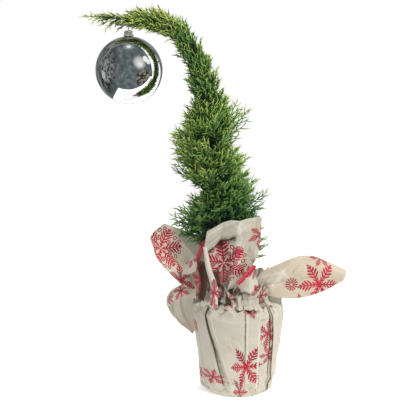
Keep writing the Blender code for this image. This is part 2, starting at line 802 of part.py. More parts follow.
def obstacle_points():
    """Points on the paper, the ribbon and the bauble that sprays keep clear of."""
    clouds = [sheet_points(*sheet, rows=24, columns=14).reshape(-1, 3)
              for sheet in SHEETS.values()]
    for path in (RIBBON_LEFT, RIBBON_RIGHT):
        clouds.append(smooth_path(path, 12) / 1000.0)
    cap = Vector((BAUBLE_X, 0.0, cap_foot()))
    stem = [cap.lerp(hanger_middle()[5], i / 8) for i in range(9)]
    clouds.append(np.array([point[:] for point in stem]))
    shell = [BAUBLE_RADIUS * np.array((sin(a) * cos(b), sin(a) * sin(b), cos(a)))
             + (BAUBLE_X, 0.0, BAUBLE_Z) for a in turns(36)[:18] for b in turns(36)]
    clouds.append(np.array(shell))
    return np.concatenate(clouds)


def main():
    clear_scene()
    plastic = material("pot plastic", (0.025, 0.025, 0.026), 0.45)
    mix = material("potting mix", (0.045, 0.028, 0.018), 0.95)
    bark = material("bark", (0.16, 0.095, 0.055), 0.85)
    green = material("foliage green", (0.085, 0.20, 0.035), 0.6)
    paper = material("wrapping paper", (0.62, 0.57, 0.49), 0.7)
    satin = material("ribbon satin", (0.60, 0.02, 0.03), 0.35)
    mirror = material("bauble mirror", (0.86, 0.87, 0.88), 0.04, 1.0)
    tin = material("cap tin", (0.75, 0.75, 0.76), 0.25, 1.0)

    make_pot(plastic)
    make_soil(mix)
    make_trunk(bark)
    obstacles = obstacle_points()
    for mass in MASSES:
        make_mass(mass, obstacles, green)
    make_tip(green)
    make_wrap_body(paper)
    for name, (left, right, bow) in SHEETS.items():
        make_sheet(name, left, right, bow, paper)
    make_band(satin)
    make_ribbon_end("ribbon_left", RIBBON_LEFT, satin)
    make_ribbon_end("ribbon_right", RIBBON_RIGHT, satin)
    make_bauble(mirror)
    make_cap(tin)
    make_hanger(tin)


main()
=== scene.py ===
# %% [markdown]
# # A small potted conifer, its top bent over by one bauble
#
# This lesson dresses a plain solid model. The solids give the sizes and the places:
# a nursery pot in a paper wrap, a trunk whose leader bends over, eight masses of
# foliage round it, a ribbon, and a silvered ball that hangs from the leader. Each cell
# swaps one plain solid for what the eye sees: thin creased paper with a red print,
# fine branching sprays, stringy bark, satin and a mirror.

# %% Load the solid model
import json
from functools import partial, reduce
from math import pi, radians

import bpy
import mathutils
import numpy as np
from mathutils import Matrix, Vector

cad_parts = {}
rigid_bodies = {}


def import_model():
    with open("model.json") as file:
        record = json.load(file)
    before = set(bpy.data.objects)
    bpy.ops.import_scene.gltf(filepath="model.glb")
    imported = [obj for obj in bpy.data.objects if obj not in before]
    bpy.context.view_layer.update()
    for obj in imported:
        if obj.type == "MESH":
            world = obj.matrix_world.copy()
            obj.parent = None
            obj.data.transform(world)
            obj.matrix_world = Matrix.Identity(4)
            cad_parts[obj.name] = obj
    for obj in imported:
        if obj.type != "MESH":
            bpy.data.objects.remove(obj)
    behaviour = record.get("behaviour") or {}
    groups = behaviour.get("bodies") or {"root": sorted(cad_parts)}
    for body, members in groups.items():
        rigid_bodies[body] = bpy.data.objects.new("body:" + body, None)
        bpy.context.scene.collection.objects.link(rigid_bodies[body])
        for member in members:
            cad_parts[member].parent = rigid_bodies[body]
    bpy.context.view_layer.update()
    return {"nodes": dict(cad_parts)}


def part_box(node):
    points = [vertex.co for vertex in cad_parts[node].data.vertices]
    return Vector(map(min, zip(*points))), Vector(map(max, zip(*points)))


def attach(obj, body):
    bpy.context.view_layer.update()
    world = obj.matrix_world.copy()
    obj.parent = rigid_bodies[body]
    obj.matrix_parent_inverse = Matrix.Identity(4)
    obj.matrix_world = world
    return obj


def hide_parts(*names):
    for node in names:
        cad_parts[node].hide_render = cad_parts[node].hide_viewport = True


for leftover in list(bpy.data.objects):
    bpy.data.objects.remove(leftover)
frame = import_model()

# %% [markdown]
# ## Camera
#
# A long lens from a little way off keeps the pot's sides nearly upright. The camera
# stands a bit higher than the middle of the plant and looks slightly down, as a person
# does at a plant on a table.

# %% Camera
CAMERA_PLACE = (-0.0475, -1.664, 0.6448)
CAMERA_PITCH = 12.05         # degrees below level
CAMERA_LENS = 96.2           # millimetres, on a sensor 36 mm wide

camera_data = bpy.data.cameras.new("camera")
camera_data.lens = CAMERA_LENS
camera_data.sensor_width = 36.0
camera = bpy.data.objects.new("camera", camera_data)
camera.location = CAMERA_PLACE
camera.rotation_euler = (radians(90.0 - CAMERA_PITCH), 0.0, 0.0)
bpy.context.collection.objects.link(camera)
bpy.context.scene.camera = camera
bpy.context.scene.view_settings.view_transform = "Standard"
print("camera lens", camera_data.lens, "mm")

# %% [markdown]
# ## Small tools for shader trees
#
# A pattern such as a printed snowflake is a formula, and a shader tree spells a formula
# out node by node. A `Value` is what a node gives out, and a sign between two values
# adds the Math node for it, so a formula still reads as one. `add_node` adds any other
# node, `new_group` opens a reusable group, and `place_group` puts a group into a
# material. A group only gives out colours, masks and heights; the Principled shader
# stays in each material.

# %% Shader helpers
class Value:
    """What a node gives out. The signs + - * / between values add Math nodes."""

    def __init__(self, socket):
        self.socket, self.tree = socket, socket.id_data

    def __add__(self, other):
        return calc("ADD", self, other)

    def __sub__(self, other):
        return calc("SUBTRACT", self, other)

    def __rsub__(self, other):
        return calc("SUBTRACT", other, self)

    def __mul__(self, other):
        return calc("MULTIPLY", self, other)

    def __truediv__(self, other):
        return calc("DIVIDE", self, other)

    def __abs__(self):
        return calc("ABSOLUTE", self)


def plug(value, socket):
    """Link a Value to a socket, or set a number, a vector or a colour on it."""
    if isinstance(value, Value):
        value.tree.links.new(value.socket, socket)
    elif socket.type == "RGBA":
        socket.default_value = (*value[:3], 1.0)
    else:
        socket.default_value = value


def add_node(tree, kind, inputs, output=0, **settings):
    """Add a node with its settings and its inputs; returns one Value that it gives."""
    node = tree.nodes.new("ShaderNode" + kind)
    for name, setting in settings.items():
        setattr(node, name, setting)
    for label, value in inputs.items():
        plug(value, node.inputs[label])
    return Value(node.outputs[output])


def tree_of(values):
    """The tree that the first Value among some values and numbers belongs to."""
    return next(value.tree for value in values if isinstance(value, Value))


def calc(operation, *values):
    """One Math node; at least one of its numbers is a Value."""
    return add_node(tree_of(values), "Math", dict(enumerate(values)), operation=operation)


def least(*values):
    """The smallest of the values."""
    return reduce(partial(calc, "MINIMUM"), values)


def most(*values):
    """The largest of the values."""
    return reduce(partial(calc, "MAXIMUM"), values)


def noise(where, scale, detail=2.0, roughness=0.5):
    """A Noise node that reads the given coordinates; its value goes from 0 to 1."""
    return add_node(where.tree, "TexNoise", {"Vector": where, "Scale": scale,
                                             "Detail": detail, "Roughness": roughness})


def blend(share, first, second):
    """Mix two colours by a share; each colour is a tuple or a Value."""
    return add_node(tree_of((share, first, second)), "Mix",
                    {0: share, 6: first, 7: second}, 2, data_type="RGBA")


def ramp(value, low, high):
    """Rise from 0 to 1 with soft ends as the value goes from low to high."""
    return add_node(value.tree, "MapRange", {"Value": value, "From Min": low,
                                             "From Max": high},
                    interpolation_type="SMOOTHSTEP")


def new_group(name, inputs, outputs):
    """A node group, its inputs as Values by name, and the sockets of its outputs.

    Inputs are given as (name, kind, default) and outputs as (name, kind).
    """
    tree = bpy.data.node_groups.new(name, "ShaderNodeTree")
    for label, kind, default in inputs:
        made = tree.interface.new_socket(label, in_out="INPUT",
                                         socket_type="NodeSocket" + kind)
        if default is not None:
            made.default_value = default
    for label, kind in outputs:
        tree.interface.new_socket(label, in_out="OUTPUT", socket_type="NodeSocket" + kind)
    entry = {socket.name: Value(socket) for socket in tree.nodes.new("NodeGroupInput").outputs}
    return tree, entry, tree.nodes.new("NodeGroupOutput").inputs


def place_group(tree, group, **values):
    """Put a group in a tree; returns the Values that it gives, by name."""
    node = tree.nodes.new("ShaderNodeGroup")
    node.node_tree = group
    for label, value in values.items():
        plug(value, node.inputs[label])
    return {socket.name: Value(socket) for socket in node.outputs}


def new_material(name, roughness, metallic=0.0, specular=0.5):
    """A Principled material: returns it with its shader, the place in space that its
    patterns read, and the place on the flat map."""
    made = bpy.data.materials.new(name)
    made.use_nodes = True
    shader = made.node_tree.nodes["Principled BSDF"]
    shader.inputs["Roughness"].default_value = roughness
    shader.inputs["Metallic"].default_value = metallic
    shader.inputs["Specular IOR Level"].default_value = specular
    where = made.node_tree.nodes.new("ShaderNodeTexCoord").outputs
    return made, shader, Value(where["Object"]), Value(where["UV"])


def dress(shader, colour, height, distance):
    """Give the shader its colour, and a height in metres through a Bump node."""
    plug(colour, shader.inputs["Base Color"])
    bump = add_node(shader.id_data, "Bump", {"Height": height, "Distance": distance})
    plug(bump, shader.inputs["Normal"])


print("shader helpers are ready")

# %% [markdown]
# ## Small tools for meshes
#
# Every new piece is worked out as whole numpy arrays and handed to Blender in one go.
# A sheet is a grid of points, and thousands of twigs are one array of tubes along their
# paths. `quads` numbers the faces of a grid, `tubes` wraps tubes round many paths at
# once, and `put_mesh` makes the object.

# %% Mesh helpers
def quads(rows, columns, closed):
    """Corner numbers of a grid's quads, row by row.

    The quad at row i and column j has the corners (i, j), (i, j+1), (i+1, j+1) and
    (i+1, j). With closed, the column after the last one is the first.
    """
    across = columns if closed else columns - 1
    i, j = np.meshgrid(np.arange(rows - 1), np.arange(across), indexing="ij")
    after = (j + 1) % columns
    corners = (i * columns + j, i * columns + after,
               (i + 1) * columns + after, (i + 1) * columns + j)
    return np.stack(corners, axis=-1).reshape(-1, 4)


def capped(rings, foot=True, top=True):
    """A surface from rings, with a fan over each end that is wanted.

    Rings turn anticlockwise seen from the end they rise to, so faces point outwards.
    """
    rows, columns, _ = rings.shape
    points = [rings.reshape(-1, 3)]
    side = np.arange(columns)
    after = (side + 1) % columns
    end = (rows - 1) * columns
    fans = []
    for wanted, ring, first, second in ((foot, rings[0], after, side),
                                        (top, rings[-1], end + side, end + after)):
        if wanted:
            middle = np.full(columns, rows * columns + len(fans))
            fans.append(np.stack([first, second, middle], axis=1))
            points.append(ring.mean(axis=0, keepdims=True))
    return np.concatenate(points), quads(rows, columns, True), np.concatenate(fans)


def running(steps, axis=0):
    """Running totals of the steps, from nought."""
    return np.cumsum(np.insert(steps, 0, 0, axis=axis), axis=axis)


MM = 0.001
NO_FACES = np.zeros((0, 3), dtype=int)


def put_mesh(name, points, four=NO_FACES, three=NO_FACES, looks=(), numbers=None,
             flat=None, smooth=True):
    """An object from arrays of points, of four-sided and of three-sided faces.

    Numbers picks each face's material, four-sided faces first, and flat gives each
    face corner its place on the flat map.
    """
    corners = np.concatenate([four.ravel(), three.ravel()]).astype(np.int32)
    sides = np.concatenate([np.full(len(four), 4), np.full(len(three), 3)])
    starts = running(sides)[:-1].astype(np.int32)
    mesh = bpy.data.meshes.new(name)
    mesh.vertices.add(len(points))
    mesh.vertices.foreach_set("co", np.asarray(points, dtype=np.float32).ravel())
    mesh.loops.add(len(corners))
    mesh.loops.foreach_set("vertex_index", corners)
    mesh.polygons.add(len(sides))
    mesh.polygons.foreach_set("loop_start", starts)
    for look in looks:
        mesh.materials.append(look)
    if numbers is not None:
        mesh.polygons.foreach_set("material_index", numbers.astype(np.int32))
    if flat is not None:
        layer = mesh.uv_layers.new(name="flat")
        layer.data.foreach_set("uv", np.asarray(flat, dtype=np.float32).ravel())
    mesh.update(calc_edges=True)
    if smooth:
        mesh.shade_smooth()
    made = bpy.data.objects.new(name, mesh)
    bpy.context.collection.objects.link(made)
    return made


def unit(vectors):
    """The same vectors, each one long."""
    return vectors / np.linalg.norm(vectors, axis=-1, keepdims=True)


def tubes(paths, radii, facing, sides):
    """Closed tapered tubes round many paths at once.

    A ring stands square to its path: centre + radius * (cos a * N + sin a * B), where
    N is across the path and B is across both. The last stop of a path is the tube's
    pointed tip. Paths are (tubes, stops, 3) and radii are (tubes, stops).
    """
    count, stops, _ = paths.shape
    along = unit(np.gradient(paths, axis=1))
    across = unit(np.cross(along, facing[:, None, :]))
    third = np.cross(along, across)
    angle = 2 * pi * np.arange(sides)[:, None] / sides
    ring = (np.cos(angle) * across[:, :-1, None, :]
            + np.sin(angle) * third[:, :-1, None, :])
    rings = paths[:, :-1, None, :] + radii[:, :-1, None, None] * ring
    points = np.concatenate([rings.reshape(count, -1, 3), paths[:, -1:]], axis=1)
    block = (stops - 1) * sides + 1
    side = np.arange(sides)
    last = (stops - 2) * sides
    tip = np.stack([last + side, last + (side + 1) % sides,
                    np.full(sides, block - 1)], axis=1)
    fan = np.arange(1, sides - 1)
    root = np.stack([np.zeros_like(fan), fan + 1, fan], axis=1)
    offsets = block * np.arange(count)[:, None, None]
    four = quads(stops - 1, sides, closed=True)[None] + offsets
    three = np.concatenate([tip, root])[None] + offsets
    return points.reshape(-1, 3), four, three


class Bundle:
    """Gathers tubes and their material numbers until they become one mesh."""

    def __init__(self):
        self.parts, self.used = [], 0

    def add(self, paths, radii, facing, sides, looks):
        """Add one tube for each path, each with its own material number."""
        points, four, three = tubes(paths, radii, facing, sides)
        self.parts.append((points, four.reshape(-1, 4) + self.used,
                           three.reshape(-1, 3) + self.used,
                           np.repeat(looks, four.shape[1]), np.repeat(looks, three.shape[1])))
        self.used += len(points)

    def finish(self, name, looks):
        """Join all that was added into one object."""
        points, four, three, *numbers = [np.concatenate(part) for part in zip(*self.parts)]
        return put_mesh(name, points, four, three, looks, np.concatenate(numbers))


def thicken(piece, thickness, offset=0.0, back=0, rim=0):
    """Give a sheet its thickness. Back and rim are how many places further on in the
    list of materials its back and its edge find theirs."""
    solid = piece.modifiers.new("Solidify", "SOLIDIFY")
    solid.thickness = thickness
    solid.offset = offset
    solid.material_offset = back
    solid.material_offset_rim = rim


def finished(piece, slot, *nodes):
    """A finished piece rides on the plant and may stand for some solids."""
    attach(piece, "root")
    if nodes:
        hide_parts(*nodes)
    print(piece.name, len(piece.data.vertices), "points,",
          len(piece.data.polygons), "faces")
    return piece


print("mesh helpers are ready")

# %% [markdown]
# ## Light, floor and the room in the mirror
#
# The plant stands in plain soft light on a pale floor. A mirror ball shows whatever is
# round it, so its look is made by the room and not by its own colour: a pale table and
# backdrop, and a dim room in front. The World shader gives that room only to glossy
# rays, through Light Path, so the floor and the paper still get plain white light.

# %% World
WHITE = (1.0, 1.0, 1.0)
AMBIENT = (0.97, 0.985, 1.0)
AMBIENT_POWER = 0.43
ROOM_POWER = 1.17
ROOM_DARK = (0.080, 0.100, 0.108)
ROOM_LIGHT = (0.185, 0.215, 0.222)
ROOM_SPECK = (0.34, 0.36, 0.37)
ROOM_AREAS = (
    # direction, dot product where the area starts and is full, colour, clutter scale
    ((-0.95, 0.12, 0.05), 0.42, 0.80, (0.022, 0.024, 0.026), 0),
    ((-0.95, 0.02, 0.05), 0.50, 0.80, (0.15, 0.15, 0.145), 6.0),
    ((-0.90, -0.20, 0.0), 0.80, 0.93, (0.30, 0.31, 0.30), 9.0),
    ((-0.99, 0.10, -0.20), 0.985, 0.992, (0.50, 0.50, 0.48), 0),
    ((0.80, -0.55, -0.35), 0.86, 0.95, (0.028, 0.024, 0.020), 0),
    ((0.80, -0.55, -0.35), 0.86, 0.94, (0.26, 0.24, 0.20), 7.0),
    ((0.50, 0.87, 0.08), 0.47, 0.50, (1.10, 1.11, 1.12), 0),
    ((0.62, -0.63, 0.47), 0.900, 1.000, (0.70, 0.68, 0.65), 0),
    ((0.66, -0.66, 0.38), 0.985, 0.999, (0.90, 0.88, 0.84), 0),
    ((0.79, -0.21, 0.54), 0.984, 0.990, (0.95, 0.95, 0.94), 0),
    ((0.90, -0.15, 0.40), 0.990, 0.994, (0.95, 0.95, 0.94), 0),
    ((-0.25, 0.93, 0.28), 0.52, 0.58, (0.085, 0.092, 0.094), 0),
    ((-0.25, 0.93, 0.28), 0.52, 0.58, (0.22, 0.23, 0.23), 4.0),
    ((0.0, 1.0, 0.10), 0.93, 0.97, (0.30, 0.31, 0.31), 0),
    ((0.0, 0.03, 1.0), 0.955, 0.999, (0.34, 0.37, 0.38), 0),
    ((0.0, 0.03, 1.0), 0.993, 0.998, (0.95, 0.97, 0.98), 0))


def make_world():
    """White light all round, and a dim room that only reflections see.

    Each area is round: it is where the dot product of the ray's direction and the
    area's own direction passes a limit, with a soft rim.
    """
    world = bpy.data.worlds.new("studio")
    bpy.context.scene.world = world
    world.use_nodes = True
    tree = world.node_tree
    tree.nodes.clear()
    way = Value(tree.nodes.new("ShaderNodeTexCoord").outputs["Generated"])

    def area(direction, low, high):
        """1 where the direction points this way, by the dot product."""
        length = sum(value * value for value in direction) ** 0.5
        own = [value / length for value in direction]
        dot = add_node(tree, "VectorMath", {0: way, 1: own}, "Value", operation="DOT_PRODUCT")
        return ramp(dot, low, high)

    blotch = ramp(noise(way, 4.0, 3.0), 0.35, 0.75)
    speck = ramp(noise(way, 24.0), 0.60, 0.80)
    seen = blend(speck * 0.5, blend(blotch, ROOM_DARK, ROOM_LIGHT), ROOM_SPECK)
    for *place, colour, clutter in ROOM_AREAS:
        share = area(*place)
        if clutter:
            share = share * ramp(noise(way, clutter, 2.0, 0.6), 0.46, 0.56)
        seen = blend(share, seen, colour)
    room, ambient, white = [
        add_node(tree, "Background", {"Color": colour, "Strength": strength})
        for colour, strength in ((seen, ROOM_POWER), (AMBIENT, AMBIENT_POWER), (WHITE, 1.0))]
    path = tree.nodes.new("ShaderNodeLightPath").outputs
    result = add_node(tree, "MixShader", {0: Value(path["Is Glossy Ray"]), 1: ambient, 2: room})
    result = add_node(tree, "MixShader", {0: Value(path["Is Camera Ray"]), 1: result, 2: white})
    plug(result, tree.nodes.new("ShaderNodeOutputWorld").inputs[0])


make_world()
print("the world is lit")

# %% Lamps and floor
LAMPS = (
    # name, place, size in metres, watts, colour
    ("key", (1.10, -1.45, 1.9), 0.8, 57.0, (1.0, 0.985, 0.965)),
    ("fill", (-1.6, -1.4, 1.3), 1.2, 9.0, (0.94, 0.97, 1.0)),
    ("top", (0.2, 0.9, 2.0), 1.3, 22.0, (1.0, 1.0, 1.0)),
)
LAMP_AIM = (0.0, 0.0, 0.22)


def make_lamp(name, place, size, watts, colour):
    """A square soft lamp that looks at the middle of the plant."""
    data = bpy.data.lights.new(name, "AREA")
    data.size = size
    data.energy = watts
    data.color = colour
    lamp = bpy.data.objects.new(name, data)
    lamp.location = place
    aim = np.subtract(place, LAMP_AIM)
    level = float(np.hypot(aim[0], aim[1]))
    lamp.rotation_euler = (float(np.arctan2(level, aim[2])), 0.0,
                           float(np.arctan2(aim[1], aim[0])) + pi / 2)
    lamp.visible_glossy = False
    bpy.context.collection.objects.link(lamp)


for row in LAMPS:
    make_lamp(*row)

FLOOR_X, FLOOR_Y = (-0.47, 1.6), (-0.27, 1.2)
FLOOR_GLOW = 0.35            # a light table, so the floor runs into the backdrop
FLOOR_DIM, FLOOR_BRIGHT = (0.93, 0.93, 0.92), (0.96, 0.96, 0.96)


def make_floor_look():
    """Matt white with a faint tone, and a glow of its own."""
    made, shader, place, _ = new_material("floor", 0.9, 0.0, 0.1)
    plug(blend(noise(place, 3.0), FLOOR_DIM, FLOOR_BRIGHT), shader.inputs["Base Color"])
    shader.inputs["Emission Color"].default_value = (*WHITE, 1.0)
    shader.inputs["Emission Strength"].default_value = FLOOR_GLOW
    return made


floor_points = np.array([(FLOOR_X[i], FLOOR_Y[j], 0.0)
                         for i, j in ((0, 0), (1, 0), (1, 1), (0, 1))])
floor = put_mesh("floor", floor_points, np.array([[0, 1, 2, 3]]), looks=[make_floor_look()])
print("lamps:", ", ".join(row[0] for row in LAMPS))

# %% [markdown]
# ## The trunk's line
#
# The plant is drawn round one curve. The trunk leans a little to the left, straightens,
# and then its leader bends right over. That is easiest as a *lean angle* for each
# distance s along the trunk: adding up many short steps in the leaning direction gives
# the points of the curve. Foliage is then placed by s, by the radius out from the trunk
# and by the turn round it, and it follows the bend by itself.

# %% The trunk's line
SOIL_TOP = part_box("soil")[1][2]
TRUNK_START = np.array((0.0065, 0.0, SOIL_TOP + 0.0003))
TRUNK_LENGTH = 0.545
STEP = 0.001
FOOT_LEAN, WAIST_LEAN, TIP_LEAN = 12.0, 5.0, 90.0      # degrees from upright
LEAN_EASE = (0.130, 0.260)
BEND_START, BEND_LENGTH, BEND_POWER = 0.320, 0.210, 1.7
TRUNK_RADIUS, TIP_RADIUS = 0.0046, 0.0012
FLARE_RADIUS, FLARE_HEIGHT = 0.0034, 0.011
BEYOND = 0.080               # the line runs on this far past the trunk's tip


def lean(s):
    """Lean at s: it eases from the foot's to the waist's, then a power curve bends it."""
    u = np.clip((s - LEAN_EASE[0]) / (LEAN_EASE[1] - LEAN_EASE[0]), 0, 1)
    stem = FOOT_LEAN + (WAIST_LEAN - FOOT_LEAN) * u * u * (3 - 2 * u)
    bend = np.clip((s - BEND_START) / BEND_LENGTH, 0, 1) ** BEND_POWER
    return np.radians(stem + (TIP_LEAN - WAIST_LEAN) * bend)


steps = (np.arange(round((TRUNK_LENGTH + BEYOND) / STEP)) + 0.5) * STEP
stride = STEP * np.stack([-np.sin(lean(steps)), 0 * steps, np.cos(lean(steps))], axis=1)
WALK = TRUNK_START + running(stride)
WALK_S = STEP * np.arange(len(WALK))


def trunk_point(s):
    """The trunk's centre at distance s, read off the walked line."""
    return np.stack([np.interp(s, WALK_S, WALK[:, k]) for k in range(3)], axis=-1)


def trunk_frame(s):
    """Unit vectors at s: along the trunk, to its right side, to the back."""
    angle = lean(s)
    none = 0 * angle
    along = np.stack([-np.sin(angle), none, np.cos(angle)], axis=-1)
    right = np.stack([np.cos(angle), none, np.sin(angle)], axis=-1)
    return along, right, np.stack([none, none + 1.0, none], axis=-1)


def around(s, radius, turn):
    """The point at a radius from the trunk's centre at s, turned round it."""
    _, right, back = trunk_frame(s)
    out = np.cos(turn)[..., None] * right + np.sin(turn)[..., None] * back
    return trunk_point(s) + np.asarray(radius)[..., None] * out


def trunk_radius(s):
    """Root flare at the soil, then an even taper to the tip."""
    taper = TRUNK_RADIUS + (TIP_RADIUS - TRUNK_RADIUS) * s / TRUNK_LENGTH
    return taper + FLARE_RADIUS * np.exp(-s / FLARE_HEIGHT)


print("the trunk's tip is at", trunk_point(np.array(TRUNK_LENGTH)).round(3))

# %% [markdown]
# ## Bark
#
# Young cypress bark is thin and stringy: narrow strips run up the stem, with fine cracks
# between them. The trunk is a grid, s by turn, whose radius gets a few waves that are
# short round the stem and long up it. The material adds the finer fibres: a noise that
# is stretched along the stem drives both the colour and the bump.

# %% Bark material
BARK_CRACK, BARK_STRIP = (0.060, 0.034, 0.020), (0.24, 0.15, 0.095)
BARK_MOSS = (0.15, 0.13, 0.075)


def make_bark():
    """Fibres from a noise stretched along the stem, and greener patches over them."""
    made, shader, place, _ = new_material("bark", 0.85, 0.0, 0.25)
    stretched = add_node(place.tree, "Mapping", {"Vector": place,
                                                 "Scale": (900.0, 900.0, 70.0)})
    fibre = noise(stretched, 1.0, 4.0, 0.6)
    colour = blend(ramp(fibre, 0.3, 0.7), BARK_CRACK, BARK_STRIP)
    colour = blend(ramp(noise(place, 90.0), 0.5, 0.8), colour, BARK_MOSS)
    dress(shader, colour, fibre, 0.0006)
    return made


bark = make_bark()
print("bark is ready")

# %% Trunk
TRUNK_ROWS, TRUNK_SIDES = 420, 40
BARK_RELIEF = 0.07           # of the radius


def trunk_surface():
    """Points of the trunk: radius * (1 + relief), relief being waves round the stem
    whose phase drifts slowly upwards, so strips of bark split and join."""
    s = np.linspace(0.0, TRUNK_LENGTH, TRUNK_ROWS)[:, None]
    turn = 2 * pi * np.arange(TRUNK_SIDES)[None, :] / TRUNK_SIDES
    drift = 3.0 * np.sin(31.0 * s) + 60.0 * s
    relief = (np.abs(np.sin(4 * turn + drift)) - 0.6
              + 0.6 * np.sin(7 * turn - 1.7 * drift + 2.0 * np.sin(90 * s)))
    radius = trunk_radius(s) * (1.0 + BARK_RELIEF * relief)
    points = around(s + 0 * turn, radius, turn + 0 * s)
    points[0, :, 2] = TRUNK_START[2]
    return points


trunk = put_mesh("trunk_bark", *capped(trunk_surface()), [bark])
finished(trunk, "bark", "trunk")

# %% [markdown]
# ## Where the foliage reaches
#
# The plant isn't a plain cone: it swells and draws in, and its left and right sides don't
# do so together. Its reach out from the trunk is a table over s, one column for each
# side; towards the front and the back it is the mean of both. A spray that springs from
# the trunk at t leans forwards, so it meets the outline further along: its end is the
# first of many tried radii that isn't inside the reach.

# %% Reach of the foliage
OUTLINE = np.array((
    # distance s along the trunk, reach to the left and to the right, in millimetres
    (90, 30, 50), (120, 34, 58), (144, 42, 62), (156, 84, 62), (172, 84, 62), (190, 76, 72),
    (203, 60, 74), (212, 24, 70), (222, 26, 68), (235, 40, 57), (250, 60, 55), (262, 63, 58),
    (273, 63, 44), (282, 65, 34), (300, 67, 38), (312, 63, 50), (325, 49, 59), (338, 46, 57),
    (350, 28, 43), (362, 24, 31), (375, 26, 25), (390, 28, 31), (402, 21, 24), (412, 16, 28),
    (425, 18, 22), (440, 21, 19), (450, 15, 23), (462, 11, 30), (475, 14, 24), (490, 15, 22),
    (502, 15, 26), (515, 17, 18), (530, 18, 12), (545, 17, 10), (560, 18, 9), (575, 17, 10),
    (605, 7, 7))) * MM
REACH_TRIED, REACH_STEPS = 0.090, 91
SPRAY_ANGLE = np.array(((0.100, 76.0), (0.165, 56.0), (0.250, 42.0), (0.330, 31.0),
                        (0.420, 20.0), (0.540, 17.0)))


def reach(s, turn):
    """The reach at s: the mean of both sides, and half their difference times cos."""
    left, right = [np.interp(s, OUTLINE[:, 0], OUTLINE[:, k]) for k in (1, 2)]
    return (left + right) / 2 + (right - left) / 2 * np.cos(turn)


def spray_slope(s):
    """How far forward a spray that springs at s goes for each step outwards."""
    angle = np.interp(s, SPRAY_ANGLE[:, 0], SPRAY_ANGLE[:, 1])
    return 1.0 / np.tan(np.radians(angle))


def sheared(t, radius, turn):
    """The point that a spray springing at t passes at this radius."""
    return around(t + radius * spray_slope(t), radius, turn)


def tip_radius(t, turn):
    """The radius where a spray that springs at t first meets the outline."""
    tried = np.linspace(0.0, REACH_TRIED, REACH_STEPS)
    shape = (-1,) + (1,) * np.ndim(t)
    radius = tried.reshape(shape) + 0 * t
    within = radius < reach(t + radius * spray_slope(t), turn)
    return tried[np.argmin(within, axis=0)]


print("reach at the widest:", round(float(reach(np.array(0.19), np.array(pi))), 3), "m")

# %% [markdown]
# ## One spray
#
# A cypress spray is a little fan. From its stem, twigs leave on alternate sides at about
# 33 degrees and curve forwards; from each twig, thin shoots leave in the same way, so
# `curl_path` serves for both. A spray is worked out flat, with x along it and y across
# it, and a small lift keeps it from being a cut-out. A few such patterns, for a few
# lengths, serve for all the sprays.

# %% Spray patterns
SHOOT_SPACING = 0.0070
SHOOT_LENGTH = (0.0105, 0.0225)
TWIG_SPACING = 0.0080
STEM_RADIUS, TWIG_RADIUS, SHOOT_RADIUS = 0.00090, 0.00100, 0.00098
HABITS = {
    # degrees a twig leaves at, degrees lost along it, longest twig for the spray's
    # length, and the shoots' length over SHOOT_LENGTH
    "open": (34.0, 20.0, 0.54, 1.0), "close": (32.0, 14.0, 0.44, 0.60),
}
SEED = 11
rng = np.random.default_rng(SEED)


def curl_path(root, heading, side, length, stops, spread, fork, curl):
    """Points of shoots that leave at the fork angle and curl forwards.

    Each step goes length / (stops - 1) in the parent's heading turned by the angle
    that is left, first to one side and then to the other, and drifts off the plane.
    """
    share = np.arange(stops - 1) / (stops - 1)
    angle = np.radians(fork - curl * share)[None, :] * side[:, None]
    angle = angle + spread[:, :1]
    cos_a, sin_a = np.cos(angle), np.sin(angle)
    dx = heading[:, :1] * cos_a - heading[:, 1:2] * sin_a
    dy = heading[:, :1] * sin_a + heading[:, 1:2] * cos_a
    dz = np.sin(spread[:, 1:2]) + 0 * dx
    step = np.stack([dx, dy, dz], axis=-1) * (length / (stops - 1))[:, None, None]
    return root[:, None, :] + running(step, axis=1)


def at_share(path, share):
    """Point and flat heading on one path at shares of its length, from 0 to 1."""
    place = share * (len(path) - 1)
    index = np.clip(place.astype(int), 0, len(path) - 2)
    part = (place - index)[:, None]
    point = path[index] * (1 - part) + path[index + 1] * part
    heading = unit(path[index + 1] - path[index])
    return point, heading


def make_pattern(length, habit):
    """One flat spray: its stem, its twigs and its shoots, each an array of paths."""
    fork, curl, share_of_length, shorter = HABITS[habit]
    u = np.linspace(0.0, 1.0, 7)
    sway = rng.uniform(-0.12, 0.12)
    stem = np.stack([length * u, sway * length * u * u, 0.05 * length * u * (1 - u)],
                    axis=-1)
    count = max(3, int(0.86 * length / TWIG_SPACING))
    share = 0.08 + 0.86 * (np.arange(count) + rng.uniform(-0.25, 0.25, count)) / count
    share = np.clip(share, 0.03, 0.97)
    swell = np.minimum(1.0, (share / 0.25) ** 0.6) * (1.10 - share)
    twig_length = length * share_of_length * swell * rng.uniform(0.70, 1.15, count)
    twig_length = np.maximum(twig_length, 0.0045)
    root, heading = at_share(stem, share)
    side = np.where(np.arange(count) % 2 == 0, 1.0, -1.0)
    twigs = curl_path(root, heading, side, twig_length, 5,
                      rng.normal(0, 0.09, (count, 2)), fork, curl)
    parents = [(stem, length, 0.30)] + [(twig, size, 0.22)
                                        for twig, size in zip(twigs, twig_length)]
    shoots = []
    for path, size, first in parents:
        number = int((0.98 - first) * size / SHOOT_SPACING + 0.5)
        if number < 1:
            continue
        place = first + (0.98 - first) * (np.arange(number) + rng.uniform(0.1, 0.6)) / number
        point, heading = at_share(path, place)
        side = np.where(np.arange(number) % 2 == 0, 1.0, -1.0)
        room = 0.0052 + 0.95 * size * (1 - place)
        long = np.minimum(shorter * rng.uniform(*SHOOT_LENGTH, number), room)
        shoots.append(curl_path(point, heading, side, long, 3,
                                rng.normal(0, 0.12, (number, 2)), fork, curl))
    return {"length": length, "stem": stem[None], "twigs": twigs,
            "shoots": np.concatenate(shoots)}


